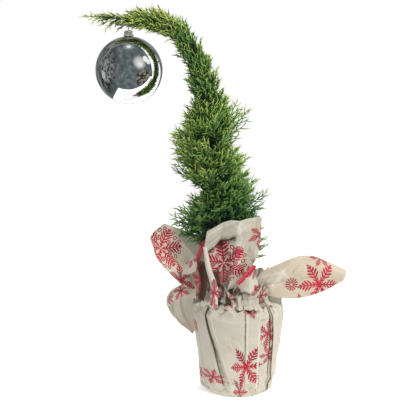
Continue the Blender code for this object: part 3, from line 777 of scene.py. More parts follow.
PATTERN_LENGTHS = np.array((0.014, 0.022, 0.032, 0.044, 0.058, 0.074))
PATTERNS_EACH = 4
PATTERNS = {habit: [[make_pattern(length, habit) for _ in range(PATTERNS_EACH)]
                    for length in PATTERN_LENGTHS]
            for habit in HABITS}
print("shoots on a", PATTERN_LENGTHS[3], "m spray:", len(PATTERNS["open"][3][0]["shoots"]))

# %% [markdown]
# ## Greens
#
# Foliage looks flat in one green. Here a spray is darker and bluer deep inside the plant,
# fresher towards its tip, and the bent top is yellower than the foot. A smooth pattern
# would be muddled on such fine meshes, so there is a short scale of plain greens, and
# every shoot is dealt a step on it: a base step for its mass, a shift for its spray, and
# a rise along the spray.

# %% Leaf materials
GREENS = (
    # name, base colour
    ("leaf_shade", (0.016, 0.045, 0.026)), ("leaf_deep", (0.038, 0.098, 0.044)),
    ("leaf_bottle", (0.078, 0.182, 0.060)), ("leaf_mid", (0.132, 0.282, 0.072)),
    ("leaf_fresh", (0.215, 0.385, 0.082)), ("leaf_spring", (0.320, 0.470, 0.100)),
    ("leaf_lime", (0.470, 0.545, 0.125)), ("leaf_straw", (0.580, 0.570, 0.200)),
)


def leaf_material(name, colour):
    """A matt scale-leaf green, with a faint mottle and a fine bump of scales."""
    made, shader, place, _ = new_material(name, 0.52, 0.0, 0.42)
    darker = tuple(0.78 * value for value in colour)
    lighter = tuple(min(1.0, 1.22 * value) for value in colour)
    tone = blend(ramp(noise(place, 420.0), 0.35, 0.65), darker, lighter)
    dress(shader, tone, noise(place, 1500.0, 1.0), 0.0002)
    return made


leaf_looks = [leaf_material(name, colour) for name, colour in GREENS]
leaf_looks.append(leaf_material("leaf_dead", (0.17, 0.085, 0.035)))
DEAD = len(leaf_looks) - 1
DEAD_SHARE = 0.004
print("greens:", ", ".join(name for name, _ in GREENS))

# %% [markdown]
# ## The paper's shape
#
# The wrap is one sheet of paper drawn up round the pot and tied at its neck, so above the
# neck it opens in loose lobes. Each lobe is a surface between two edge curves: u runs
# along it and v across. A bow lifts the middle, a crown bulges the far edge, and creases
# are straight ridges, tent shaped, measured on the paper laid flat. The edges are given
# in millimetres from the neck outwards.

# %% Paper surfaces
MAP_UNIT = 0.100             # one unit of a flat map is 100 mm of paper
FOLD_SIZE = 0.00026          # a point this far off its neighbours' mean is a full fold
FOLD_MOST = 0.62             # only a deep fold in the shade is marked more than this
LOOSE_MOST = 0.42            # the same on the smoother loose lobes


def smooth_curve(points, count):
    """Sample a smooth curve through points, evenly along their chords.

    Between two points it is the cubic that meets both with the slopes there.
    """
    points = np.array(points, dtype=float)
    chords = np.linalg.norm(np.diff(points, axis=0), axis=1)
    knots = running(chords)
    slopes = np.gradient(points, knots, axis=0)
    places = np.linspace(0.0, knots[-1], count)
    span = np.clip(np.searchsorted(knots, places) - 1, 0, len(points) - 2)
    width = (knots[span + 1] - knots[span])[:, None]
    u = (places - knots[span])[:, None] / width
    return ((2 * u**3 - 3 * u**2 + 1) * points[span]
            + (u**3 - 2 * u**2 + u) * width * slopes[span]
            + (3 * u**2 - 2 * u**3) * points[span + 1]
            + (u**3 - u**2) * width * slopes[span + 1])


def flat_map(grid):
    """Where each point lies on the paper laid flat, in metres: y is the mean length
    along the sheet, and x is the distance across, from the middle."""
    ahead = np.linalg.norm(np.diff(grid, axis=0), axis=2).mean(axis=1)
    across = np.linalg.norm(np.diff(grid, axis=1), axis=2)
    y = running(ahead)[:, None]
    x = running(across, axis=1)
    x = x - 0.5 * x[:, -1:]
    return np.stack([x, y + 0 * x], axis=-1)


def normals(grid):
    """Unit normals of a grid: across it times along it."""
    return unit(np.cross(np.gradient(grid, axis=1), np.gradient(grid, axis=0)))


def fold_marks(grid, most):
    """How sharply the paper turns at each point: above 0 on a ridge, below in a valley.

    It is the point's distance from the mean of its neighbours, along the normal, over
    FOLD_SIZE, and goes no further than the most.
    """
    padded = np.pad(grid, ((1, 1), (1, 1), (0, 0)), mode="edge")
    mean = (padded[:-2, 1:-1] + padded[2:, 1:-1]
            + padded[1:-1, :-2] + padded[1:-1, 2:]) / 4
    sharp = ((grid - mean) * normals(grid)).sum(axis=-1) / FOLD_SIZE
    sharp[[0, -1]] = 0.0
    return np.clip(sharp, -most, most)


def mark_folds(piece, grid, spare=0, dusk=0.0, most=FOLD_MOST):
    """Keep the fold marks on the mesh, for its material; spare points get none.

    Dusk is painted shade taken off the marks; where it is below 0 it is painted light.
    """
    marks = np.clip(fold_marks(grid, most) - dusk, -1.0, 1.0)
    marks = np.concatenate([marks.ravel(), np.zeros(spare)])
    layer = piece.data.attributes.new("fold", "FLOAT", "POINT")
    layer.data.foreach_set("value", marks.astype(np.float32))


def crumple(flat, size, seed, count=5, length=0.030):
    """Facets of crumpled paper: the mean of triangle waves in a few directions."""
    draw = np.random.default_rng(seed)
    total = 0.0
    for _ in range(count):
        way = draw.uniform(0, pi)
        wave = length * draw.uniform(0.6, 1.5)
        place = (flat[..., 0] * np.cos(way) + flat[..., 1] * np.sin(way)) / wave
        total = total + np.abs((place + draw.uniform(0, 1)) % 1.0 - 0.5) - 0.25
    return size * total * 4.0 / count


def crease(flat, start, end, height, width):
    """A tent over the line from start to end: height * (1 - distance / width)."""
    start, end = np.array(start), np.array(end)
    along = end - start
    share = np.clip(((flat - start) @ along) / (along @ along), 0.0, 1.0)
    off = np.linalg.norm(flat - (start + share[..., None] * along), axis=-1)
    return height * np.maximum(0.0, 1.0 - off / width)


def fraction_place(flat, v, u):
    """The flat place at the fractions v across and u along a sheet."""
    rows, columns, _ = flat.shape
    return flat[round(u * (rows - 1)), round(v * (columns - 1))]


def add_tents(total, flat, rows, unit):
    """Add a tent to the total for each row: its two ends, its height and its width."""
    for v0, u0, v1, u1, height, width in rows:
        total = total + crease(flat, fraction_place(flat, v0, u0),
                               fraction_place(flat, v1, u1), height * unit, width * MM)
    return total


def sheet_surface(sheet):
    """The points and the flat map of one lobe, with its bow, crown and creases."""
    rows, columns = sheet.get("grid", (70, 44))
    left = smooth_curve(sheet["left"], rows) * MM
    right = smooth_curve(sheet["right"], rows) * MM
    u = np.linspace(0.0, 1.0, rows)[:, None]
    v = np.linspace(0.0, 1.0, columns)[None, :]
    grid = left[:, None] * (1 - v[..., None]) + right[:, None] * v[..., None]
    lift = np.sin(pi * v) * (0.35 + 0.65 * u)
    grid = grid + lift[..., None] * np.array(sheet["bow"]) * MM
    bulge = np.interp(v[0], *np.array(sheet.get("crown", ((0, 0), (1, 0))), dtype=float).T)
    ahead = unit(grid[-1] - grid[-2])
    grid = grid + (u ** 5)[..., None] * (bulge * MM)[None, :, None] * ahead[None]
    flat = flat_map(grid)
    rise = crumple(flat, sheet.get("crumple", 0.7) * MM, sheet["seed"])
    rise = add_tents(rise, flat, sheet["creases"], MM)
    return grid + rise[..., None] * normals(grid), flat


def around_front(turn, radius, height):
    """A point by its turn in degrees (0 = front, 90 = right), radius and height."""
    angle = np.radians(turn)
    return np.stack(np.broadcast_arrays(radius * np.sin(angle), -radius * np.cos(angle),
                                        height), axis=-1)


def unrolled(turn, height, radius):
    """The flat map of paper round the neck: the turn is measured at one radius."""
    return np.stack(np.broadcast_arrays(np.radians(turn) * radius, height), axis=-1)


def whole_turn(count):
    """Even turns in degrees from the back round the front to the back again."""
    return np.linspace(-180.0, 180.0, count, endpoint=False)[None, :]


def corner_map(flat, wrap=None):
    """The flat map at the corners of each quad, in map units.

    On a closed sheet the last column meets the first again, one whole turn of paper
    (wrap, in metres) further on.
    """
    if wrap is not None:
        flat = np.concatenate([flat, flat[:, :1] + np.array([wrap, 0.0])], axis=1)
    four = quads(*flat.shape[:2], closed=False)
    return flat.reshape(-1, 2)[four.ravel()] / MAP_UNIT


def put_sheet(name, grid, flat, looks, wrap=None):
    """The object of a sheet with its flat map; it is closed if it has a wrap."""
    return put_mesh(name, grid.reshape(-1, 3),
                    quads(*grid.shape[:2], closed=wrap is not None),
                    looks=looks, flat=corner_map(flat, wrap))


print("one map unit is", MAP_UNIT, "m of paper")

# %% [markdown]
# ## The print
#
# The print is a scatter of red snowflakes. A snowflake has six arms, each the mirror
# image of itself, so the pattern is worked out once for half an arm: the angle round the
# centre is folded into 30 degrees, and the folded point is (x along the arm, y off it).
# A leafy flake is a stem with slanting leaves; a lace flake adds rings between its arms;
# a burst is a fan of rays. Each is a group with a centre, a radius and a turn, so that a
# sheet can hold as many as it needs.

# %% Print groups
FLAKE_INPUTS = (("Map", "Vector", None), ("Centre", "Vector", None),
                ("Radius", "Float", 10.0), ("Turn", "Float", 0.0))
INK = (("Ink", "Float"),)
EDGE = 0.30                  # millimetres of soft edge to the ink


def folded(entry, fold):
    """Angle and distance from the centre, folded: gives r, x and y for one arm.

    r is the distance over the radius, x = r * cos(a) and y = r * sin(a), where a is
    the angle to the nearest arm.
    """
    tree = entry["Map"].tree
    off = add_node(tree, "VectorMath", {0: entry["Map"], 1: entry["Centre"]},
                   operation="SUBTRACT")
    px, py = [add_node(tree, "SeparateXYZ", {0: off}, axis) for axis in (0, 1)]
    r = calc("SQRT", px * px + py * py) / entry["Radius"]
    turned = calc("ARCTAN2", py, px) - calc("RADIANS", entry["Turn"])
    near = calc("PINGPONG", turned, fold)
    return r, r * calc("COSINE", near), r * calc("SINE", near)


def ink_edge(entry, inside):
    """Turn a distance inside the shape, over the radius, into a mask from 0 to 1."""
    return ramp(inside * entry["Radius"], -EDGE / 2, EDGE / 2)


def leafy_arm(x, y, spacing, half_width, length, first):
    """Distance inside one arm: a thin stem, or any of its slanting pointed leaves.

    A leaf's middle line is where u = x - 0.8 y is first, first + spacing, and so on. Its
    length is the smaller of 0.66 u, which keeps it off the next arm, and of
    length * (1.05 - u). It is fattest half way along.
    """
    stem = least(x * -0.018 + 0.040 - y, 1.0 - x)
    u = y * -0.8 + x
    shifted = u + (10 * spacing + spacing / 2 - first)
    cell = abs(calc("MODULO", shifted, spacing) - spacing / 2)
    size = least(u * -length + 1.05 * length, u * 0.66)
    part = y / most(size, 0.02)
    fat = most((part + 0.06) * (1.0 - part), 0.0) * (4 * half_width)
    leaves = least(fat - cell * 0.78, u - (first - spacing / 2), 1.0 - u)
    return most(stem, leaves)


def ring(x, y, centre_x, centre_y, radius, half_width):
    """Distance inside a ring's line: half_width - |distance to its centre - radius|."""
    dx, dy = x - centre_x, y - centre_y
    far = calc("SQRT", dx * dx + dy * dy)
    return half_width - abs(far - radius)


def make_leafy_flake():
    """Six leafy arms, and a small bud between each two at the heart."""
    tree, entry, out = new_group("leafy flake", FLAKE_INPUTS, INK)
    r, x, y = folded(entry, pi / 6)
    between = x * 0.5 - y * 0.866
    bud = least(0.07 - abs(r - 0.15), 0.026 - between)
    arm = leafy_arm(x, y, 0.155, 0.042, 0.46, 0.20)
    plug(ink_edge(entry, most(arm, bud)), out["Ink"])
    return tree


def make_lace_flake():
    """Arms with fine leaves, and rings and beads in the lace between them."""
    tree, entry, out = new_group("lace flake", FLAKE_INPUTS, INK)
    r, x, y = folded(entry, pi / 6)
    arm = leafy_arm(x, y, 0.145, 0.040, 0.60, 0.16)
    lace = most(arm, *[ring(x, y, *place) for place in LACE_RINGS])
    plug(ink_edge(entry, least(lace, r - 0.055)), out["Ink"])
    return tree


def make_burst(rays):
    """A fan of even rays round a clear heart: Clear is the heart over the radius."""
    inputs = FLAKE_INPUTS + (("Clear", "Float", 0.2),)
    tree, entry, out = new_group("burst", inputs, INK)
    r, x, y = folded(entry, pi / rays)
    width = (x - entry["Clear"]) * 0.10 + 0.045
    ray = least(width - y, 1.0 - x, r - entry["Clear"])
    plug(ink_edge(entry, ray), out["Ink"])
    return tree


LACE_RINGS = (
    # centre along the arm, centre off it, radius, half width of the line
    (0.44, 0.250, 0.080, 0.024), (0.44, 0.250, 0.000, 0.034), (0.72, 0.40, 0.065, 0.022),
    (0.90, 0.24, 0.060, 0.021))
leafy_flake = make_leafy_flake()
lace_flake = make_lace_flake()
burst = make_burst(14)
print("print groups:", leafy_flake.name, "/", lace_flake.name, "/", burst.name)

# %% [markdown]
# ## Paper
#
# It is natural, uncoated kraft in a warm grey cream. A fibre group gives its fine mottle
# and the bump of its fibres, painted shade in the valleys of its folds, and ridges made
# lighter, partly as rubbed paper and partly as painted light. The printed side adds red
# ink, thinner where the paper's fibres show through, and deep folds get more painted shade
# over paper and ink alike. The back is plain and a little pinker. Solidify gives a sheet
# its thickness and puts the second material on its back.

# %% Paper materials
def make_fibre_group():
    """Colour and height of uncoated paper: long mottle, short fibres, fold marks (painted
    shade in valleys, and ridges lighter, partly rubbed and partly painted light), and a
    net of fine crinkles along the edges of bent cells, where the paper was handled."""
    inputs = (("Where", "Vector", None), ("Paper", "Color", (*PAPER_FRONT, 1.0)),
              ("Fold", "Float", 0.0))
    outputs = (("Colour", "Color"), ("Height", "Float"))
    tree, entry, out = new_group("paper fibre", inputs, outputs)
    where, paper, fold = entry["Where"], entry["Paper"], entry["Fold"]
    mottle = noise(where, 45.0, 3.0, 0.6)
    fibre = noise(where, 900.0, 3.0, 0.7)
    tone = blend(ramp(mottle, 0.35, 0.70), paper, blend(0.13, paper, MOTTLE_BROWN))
    tone = blend(ramp(fibre, 0.62, 0.80) * 0.20, tone, FLECK_BROWN)
    # ridges turn lighter: partly rubbed paper, partly painted light
    tone = blend(ramp(fold, 0.15, 1.0) * 0.40, tone, RUBBED_AND_PAINTED_LIGHT_CREAM)
    # painted shade: the valleys of folds, deepened by dusk, turn brown
    tone = blend(ramp(fold * -1.0, 0.15, 1.0) * 0.88, tone, FOLD_SHADE_BROWN)
    wobble = add_node(tree, "TexNoise", {"Vector": where, "Scale": 40.0}, "Color")
    bent = add_node(tree, "VectorMath", {0: wobble, 1: (0.022, 0.022, 0.022), 2: where},
                    operation="MULTIPLY_ADD")
    cells = add_node(tree, "TexVoronoi", {"Vector": bent, "Scale": 62.0},
                     feature="DISTANCE_TO_EDGE")
    busy = ramp(noise(where, 22.0), 0.45, 0.62)
    line = (1.0 - ramp(cells, 0.0, 0.05)) * busy
    tone = blend(line * 0.22, tone, CRINKLE_BROWN)
    plug(tone, out["Colour"])
    crinkle = ramp(cells, 0.0, 0.30) * busy
    plug(crinkle * 2.4 + (mottle * 0.5 + fibre), out["Height"])
    return tree


PAPER_FRONT = (0.520, 0.486, 0.402)
PAPER_BACK = (0.600, 0.548, 0.490)
# a dark copy of the paper for the inner fold: painted shade
PAPER_PAINTED_SHADE = (0.260, 0.215, 0.170)
# a darker, warmer copy of the paper for the wing: painted shade
PAPER_WING_PAINTED_SHADE = (0.480, 0.420, 0.335)
# a lighter copy of the paper for the front flap: painted light
PAPER_PAINTED_LIGHT = (0.590, 0.550, 0.460)
LOOSE_GLOW, GLOW_REACH = 0.60, (0.0022, 0.0021, 0.0019)
INK_RED = (0.400, 0.010, 0.032)
INK_DEEP = (0.240, 0.005, 0.022)
# painted shade of deep folds, over paper and ink alike
DEEP_FOLD_SHADE = (0.048, 0.032, 0.026)
MOTTLE_BROWN, FLECK_BROWN = (0.30, 0.24, 0.17), (0.42, 0.34, 0.25)
# painted shade in the valleys of folds; fine crinkle lines
FOLD_SHADE_BROWN, CRINKLE_BROWN = (0.13, 0.105, 0.062), (0.24, 0.19, 0.13)
# ridges lighter: partly rubbed paper, partly painted light
RUBBED_AND_PAINTED_LIGHT_CREAM = (0.85, 0.80, 0.70)
fibre_group = make_fibre_group()
FLAKE_KINDS = {"leafy": leafy_flake, "lace": lace_flake, "burst": burst}


def paper_material(name, paper, prints=(), glow=0.0):
    """Uncoated paper with its prints: (kind, x, y, radius, turn[, clear]) in mm.

    Glow is the share of light that goes on through the sheet and out at its other side.
    """
    made, shader, place, flat = new_material(name, 0.74, 0.0, 0.30)
    tree = made.node_tree
    for label, value in (("Weight", glow), ("Radius", GLOW_REACH), ("Scale", 1.0)):
        shader.inputs["Subsurface " + label].default_value = value
    fold = add_node(tree, "Attribute", {}, "Fac", attribute_name="fold")
    base = place_group(tree, fibre_group, Where=place, Paper=paper, Fold=fold)
    colour = base["Colour"]
    if prints:
        flat_mm = add_node(tree, "VectorMath", {0: flat, "Scale": MAP_UNIT / MM},
                           operation="SCALE")
        inks = []
        for kind, x, y, radius, turn, *clear in prints:
            more = {"Clear": clear[0]} if clear else {}
            flake = place_group(tree, FLAKE_KINDS[kind], Map=flat_mm, Centre=(x, y, 0.0),
                                Radius=radius, Turn=turn, **more)
            inks.append(flake["Ink"])
        wear = ramp(noise(place, 700.0), 0.70, 0.52)
        red = blend(ramp(noise(place, 30.0), 0.35, 0.65), INK_DEEP, INK_RED)
        colour = blend(most(*inks) * (wear * 0.12 + 0.87), colour, red)
    # painted shade: deep folds darken paper and ink
    colour = blend(ramp(fold * -1.0, 0.45, 1.0) * 0.88, colour, DEEP_FOLD_SHADE)
    dress(shader, colour, base["Height"], 0.00025)
    return made


plain_back = paper_material("paper_back", PAPER_BACK)
loose_back = paper_material("loose_paper_back", PAPER_BACK, (), LOOSE_GLOW)
print("paper is ready")

# %% [markdown]
# ## The lobes of the wrap
#
# Nine loose pieces of the sheet stand round the neck, and each follows its solid. Three
# small curls are added where the sheet rolls over at the left. The table gives their
# edges, where the paper is creased and printed, and where it gets painted shade and painted
# light. A crease or a painted shade runs from one place to another, each as fractions
# across and along the sheet; then come its height or depth (a painted shade below 0 is
# painted light), and its width in millimetres. Prints lie on the flat map, in millimetres:
# x from the middle of the sheet, y from the neck.

# %% Lobes
PAPER_THICKNESS = 0.0004
SHEETS = {
    "wrap_lobe_front": {
        "left": ((-31, -34, 148), (-30, -31, 162), (-40, -46, 195), (-53, -56, 235),
                 (-49, -66, 268)),
        "right": ((-8, -48, 148), (-8, -43, 162), (4, -48, 188), (25, -54, 225),
                  (31, -60, 262), (32, -66, 290)),
        "bow": (0, 7, 3), "crown": ((0, 0), (0.42, 6), (0.62, 3), (1, 0)),
        "crumple": 1.0,
        "painted_light_and_shade": ((0.0, 0.94, 0.55, 0.97, -0.8, 8), (0.12, 0.72, 0.48, 0.80, 0.50, 16),
                   (0.66, 0.95, 0.68, 0.45, -0.9, 9), (0.93, 0.20, 0.97, 0.55, 0.45, 8),
                   (0.08, 0.0, 0.10, 0.42, 1.6, 9), (0.85, 0.0, 0.80, 0.14, 1.6, 9),
                   (0.50, 0.10, 0.62, 0.36, -0.9, 7)),
        "creases": ((0.60, 0.0, 0.60, 1.0, 11, 26), (0.02, 0.74, 0.56, 0.90, 6, 10),
                    (0.26, 0.10, 0.30, 0.80, -6, 11), (0.86, 0.15, 0.86, 0.80, -4, 10),
                    (0.75, 0.90, 0.95, 0.60, 3, 9), (0.45, 0.15, 0.42, 0.6, -3, 7),
                    (0.05, 0.70, 0.50, 0.80, -6, 14)),
        "prints": (("lace", -12, 72, 36, 95), ("leafy", 44, 112, 20, 20),
                   ("burst", 10, 92, 9, 0, 0.15), ("leafy", 30, 50, 16, 45)),
    },
    "wrap_fold_front": {
        "left": ((-45, -66, 150), (-44, -64, 183), (-51, -64, 214), (-55, -64, 245)),
        "right": ((-33, -66, 150), (-33, -68, 183), (-43, -69, 214), (-50, -67, 245)),
        "bow": (0, -3, 0), "crumple": 0.3, "grid": (60, 16),
        "creases": ((0.55, 0.0, 0.55, 1.0, 1.5, 5),),
        "painted_light_and_shade": ((0.6, 0.0, 0.6, 1.0, -0.8, 9),),
        "prints": (("leafy", 0, 25, 22, 20), ("leafy", 4, -6, 15, 40)),
    },
    "wrap_flap_front": {
        "left": ((3, -49, 148), (5, -44, 162), (0, -51, 176), (1, -57, 190)),
        "right": ((30, -38, 148), (30, -34, 162), (28, -47, 184), (19, -58, 207)),
        "bow": (0, -5, 0), "grid": (50, 36), "crumple": 1.6,
        "paper": PAPER_PAINTED_LIGHT, "painted_light_and_shade": ((0.3, 0.5, 0.5, 0.6, -0.4, 14),),
        "creases": ((0.35, 0.0, 0.6, 1.0, 4.0, 8), (0.85, 0.2, 0.2, 0.7, 2.5, 6),
                    (0.1, 0.3, 0.9, 0.45, -2.5, 5)),
        "prints": (("leafy", 9, 22, 12, 30), ("leafy", 16, 56, 14, 0)),
    },
    "wrap_lobe_left": {
        "left": ((-32, -24, 150), (-42, -22, 160), (-62, -24, 164), (-84, -30, 174),
                 (-106, -32, 195), (-125, -30, 218), (-135, -24, 245)),
        "right": ((-40, -2, 160), (-50, 2, 195), (-58, 6, 226), (-76, 6, 248),
                  (-100, 2, 260), (-115, -6, 267)),
        "bow": (-5, 5, -3), "crumple": 1.4,
        "painted_light_and_shade": ((0.75, 0.35, 0.65, 0.85, -0.7, 20), (0.3, 0.0, 0.9, 0.06, 1.0, 12)),
        "creases": ((0.50, 0.0, 0.45, 1.0, -5, 16), (0.85, 0.1, 0.9, 0.9, 3, 9),
                    (0.22, 0.2, 0.15, 0.9, 3, 10), (0.6, 0.30, 0.95, 0.5, 2, 9)),
        "prints": (("lace", -12, 116, 34, 15), ("leafy", -28, 62, 26, 50),
                   ("leafy", 14, 30, 18, 10)),
    },
    "wrap_droop_left": {
        "left": ((-46, 12, 162), (-72, 10, 167), (-96, 6, 163), (-110, 4, 150),
                 (-112, 4, 136), (-106, 5, 120), (-94, 7, 105), (-80, 10, 91),
                 (-71, 12, 83)),
        "right": ((-38, 22, 162), (-52, 32, 160), (-64, 38, 152), (-68, 38, 138),
                  (-70, 36, 122), (-70, 34, 108), (-69, 30, 96), (-67, 26, 83)),
        "bow": (-3, 6, 0), "crumple": 1.2,
        "painted_light_and_shade": ((0.5, 0.45, 0.5, 0.9, -0.8, 22),),
        "creases": ((0.35, 0.1, 0.35, 1.0, -4, 9), (0.6, 0.3, 0.7, 1.0, 3, 8),
                    (0.15, 0.3, 0.2, 0.8, 2.5, 6)),
        "prints": (("leafy", 0, 45, 24, 0),),
    },
    "wrap_wing_right": {
        "left": ((24, -20, 180), (36, -18, 194), (56, -18, 204), (78, -17, 213),
                 (98, -15, 218.5), (114, -13, 217), (131, -11, 210.5), (166, -8, 192)),
        "right": ((36, -22, 160), (50, -30, 158), (64, -33, 156), (90, -33, 156),
                  (110, -30, 159), (131, -23, 165), (148, -15, 171), (159, -9, 175)),
        "bow": (0, -7, 0), "crumple": 1.4, "paper": PAPER_WING_PAINTED_SHADE,
        "painted_light_and_shade": ((0.30, 0.04, 0.38, 0.30, -0.9, 18), (0.45, 0.45, 0.45, 0.75, 0.34, 22)),
        "creases": ((0.02, 0.45, 0.60, 0.16, 6, 12), (0.55, 0.0, 0.50, 0.28, -8, 13),
                    (0.30, 0.45, 0.25, 0.95, 3, 14), (0.75, 0.35, 0.70, 0.9, -3, 12)),
        "prints": (("leafy", 15, 98, 36, 30), ("burst", 8, 53, 10, 0, 0.2),
                   ("leafy", -28, 102, 17, 30), ("leafy", 44, 62, 20, 0)),
    },
    "wrap_lobe_back_right": {
        "left": ((26, 34, 162), (36, 42, 172), (44, 50, 179), (48, 54, 182)),
        "right": ((38, 14, 162), (56, 18, 165), (70, 22, 169), (76, 25, 171)),
        "bow": (4, 5, 0),
        "creases": ((0.5, 0.0, 0.5, 1.0, 4, 10),),
        "prints": (("leafy", 0, 30, 22, 0),),
    },
    "wrap_lobe_back": {
        "left": ((-7, 44, 162), (-8, 60, 195), (-16, 70, 226), (-24, 75, 242)),
        "right": ((19, 39, 162), (24, 56, 195), (24, 66, 222), (18, 70, 238)),
        "bow": (0, 6, 0),
        "creases": ((0.5, 0.0, 0.4, 1.0, 5, 12), (0.8, 0.2, 0.7, 1.0, -3, 8)),
        "prints": (("lace", 4, 50, 30, 0),),
    },
    "wrap_lobe_back_left": {
        "left": ((-34, 31, 162), (-60, 47, 185), (-84, 54, 210), (-92, 56, 222)),
        "right": ((-14, 43, 162), (-24, 60, 195), (-42, 68, 222), (-60, 70, 234)),
        "bow": (-3, 6, 0),
        "creases": ((0.5, 0.0, 0.5, 1.0, 5, 12), (0.25, 0.3, 0.2, 1.0, -3, 8)),
        "prints": (("leafy", 0, 62, 32, 10), ("burst", -14, 34, 9, 0, 0.2)),
    },
    "wrap_curl_left": {
        "left": ((-86, -40, 196), (-85, -44, 206), (-83, -43, 214)),
        "right": ((-66, -44, 201), (-64, -47, 213), (-65, -46, 225)),
        "bow": (0, -5, 0), "crumple": 1.0, "grid": (30, 30),
        "creases": ((0.45, 0.0, 0.55, 1.0, 3, 8),),
        "prints": (("leafy", 3, 24, 13, 20),),
    },
    # the inner fold: darker paper and a band of painted shade stand for the shade between lobes
    "wrap_inner_fold": {
        "left": ((-66, -46, 157), (-67, -46, 181), (-72, -44, 203), (-66, -42, 215)),
        "right": ((-54, -52, 156), (-49, -52, 182), (-49, -50, 202), (-52, -48, 217)),
        "bow": (0, 8, 0), "crumple": 1.5, "grid": (60, 24),
        "creases": ((0.5, 0.0, 0.45, 1.0, -5, 8),), "paper": PAPER_PAINTED_SHADE,
        "painted_light_and_shade": ((0.85, 0.0, 0.85, 0.85, 2.6, 12),),
        "prints": (("leafy", 0, 30, 17, 20), ("leafy", 2, 8, 11, 0), ("leafy", -3, 50, 10, 40)),
    },
    "wrap_roll_left": {
        "left": ((-61, -20, 155), (-75, -24, 158), (-87, -24, 155), (-100, -18, 144),
                 (-110, -8, 136)),
        "right": ((-61, -10, 165), (-75, -14, 173), (-91, -16, 170), (-106, -12, 156),
                  (-111, -6, 140)),
        "bow": (0, -5, 0), "crumple": 1.0, "grid": (50, 20),
        "creases": ((0.5, 0.0, 0.5, 1.0, 2, 7),),
        "prints": (("leafy", 0, 30, 15, 0), ("leafy", 2, 52, 10, 20)),
    },
}


def make_lobe(name, sheet):
    """One lobe: its surface, its printed and plain sides, and its thickness."""
    grid, flat = sheet_surface(sheet)
    printed = paper_material(name + "_print", sheet.get("paper", PAPER_FRONT),
                             sheet["prints"], LOOSE_GLOW)
    lobe = put_sheet(name + "_paper", grid, flat, [printed, loose_back])
    # painted shade, and painted light where its depth is below 0, from the sheet's table
    dusk = add_tents(0 * flat[..., 0], flat, sheet.get("painted_light_and_shade", ()), 1.0)
    mark_folds(lobe, grid, dusk=dusk, most=LOOSE_MOST)
    thicken(lobe, PAPER_THICKNESS, back=1, rim=1)
    nodes = (name,) if name in frame["nodes"] else ()
    finished(lobe, "wrapping_paper", *nodes)
    return grid


lobe_grids = [make_lobe(name, {**sheet, "seed": number})
              for number, (name, sheet) in enumerate(SHEETS.items(), start=1)]

# %% [markdown]
# ## The wrap round the pot
#
# Below the neck the paper is folded flat round the pot. Its surface is a radius over
# height and turn: a profile, plus a tent for each fold. A knife pleat is more than a
# tent: the paper doubles back under itself and comes forward again. So the columns of
# the grid follow the paper and not the turn. At a pleat they go back by its overlap and
# forward again, each layer a little further in, and the print jumps there as it does on
# real folded paper. Fold lines run from a turn at the rim to another at the foot. DUSK
# paints shade into the deep folds and paints light on two ridges.

# %% Wrap round the pot
RIM_Z = 0.132
PAPER_ROUND = 0.063          # radius at which a turn is measured as paper length
WRAP_PROFILE = np.array((
    # height, radius
    (0.0008, 0.0455), (0.0030, 0.0482), (0.0070, 0.0520), (0.0300, 0.0575),
    (0.1100, 0.0682), (0.1310, 0.0692), (0.1335, 0.0690), (0.1400, 0.0655),
    (0.1450, 0.0540), (0.1490, 0.0450), (0.1520, 0.0415), (0.1600, 0.0405)))
PLEATS = (
    # turn at the rim, at the foot, overlap (+ left over right), lift in mm, spread
    (-128, -140, 7, 1.8, 18), (-84, -85, -6, 1.8, 14), (27, 31, 5, 1.2, 10),
    (45.7, 57, -8, 3.4, 14), (78, 77, 6, 1.8, 14), (104, 108, -6, 1.6, 14),
    (148, 140, 7, 1.8, 16), (172, 165, -6, 1.5, 16))
TENTS = (
    # turn at the rim, at the foot, height in mm, degrees before, after, from z
    (-152, -158, 1.6, 3, 14, -0.01), (-105, -109, 1.6, 2, 16, -0.01),
    (-66, -60, 1.8, 3, 12, -0.01), (-50.4, -22.8, -3.0, 0.8, 12.0, 0.015),
    (-38.4, -8.5, 2.0, 10.5, 24, 0.006), (8.5, 9, 1.2, 1.5, 16, 0.010),
    (44.8, 56.2, -3.6, 5, 0.5, 0.010), (62, 68, 1.4, 3, 14, -0.01),
    (126, 130, 1.6, 2, 14, -0.01))
DUSK = (
    # turn at the rim, degrees it reaches before and after, depth of painted shade
    # (painted light if below 0), from z
    (-50.2, 0.7, 2.6, 0.95, 0.062), (-50.2, 0.8, 13.0, 0.98, 0.002),
    (-37.6, 2.0, 2.4, -0.90, -0.040), (45.2, 2.2, 0.6, 1.0, 0.020),
    (8.0, 2.8, 0.3, 0.42, 0.030), (10.2, 0.8, 2.2, -0.80, 0.000),
    (27.6, 0.3, 0.9, 0.5, -0.040), (-76.0, 22.0, 24.0, 0.28, -0.040))
SWELLS = (
    # turn, height, half width in degrees, half height, out
    (-88, 0.012, 30, 0.022, 0.0055), (-82, 0.1430, 26, 0.0045, 0.0070))
# crumples: size in metres, seed, number of directions, length of a facet in metres
SHOULDER_CRUMPLE, SHOULDER_DROP = (0.0075, 21, 3, 0.036), (0.0075, 24, 3, 0.030)
WALL_CRUMPLE, FOOT_CRUMPLE = (0.0018, 22, 5, 0.050), (0.0034, 23, 4, 0.022)
UNDER_RADII, UNDER_Z = (0.006, 0.0435), 0.0005
UNDER_ROWS, WALL_ROWS, NECK_ROWS = 8, 78, 46


def smooth_step(value, low, high):
    """Ease from 0 to 1 as the value goes from low to high."""
    u = np.clip((value - low) / (high - low), 0.0, 1.0)
    return u * u * (3 - 2 * u)


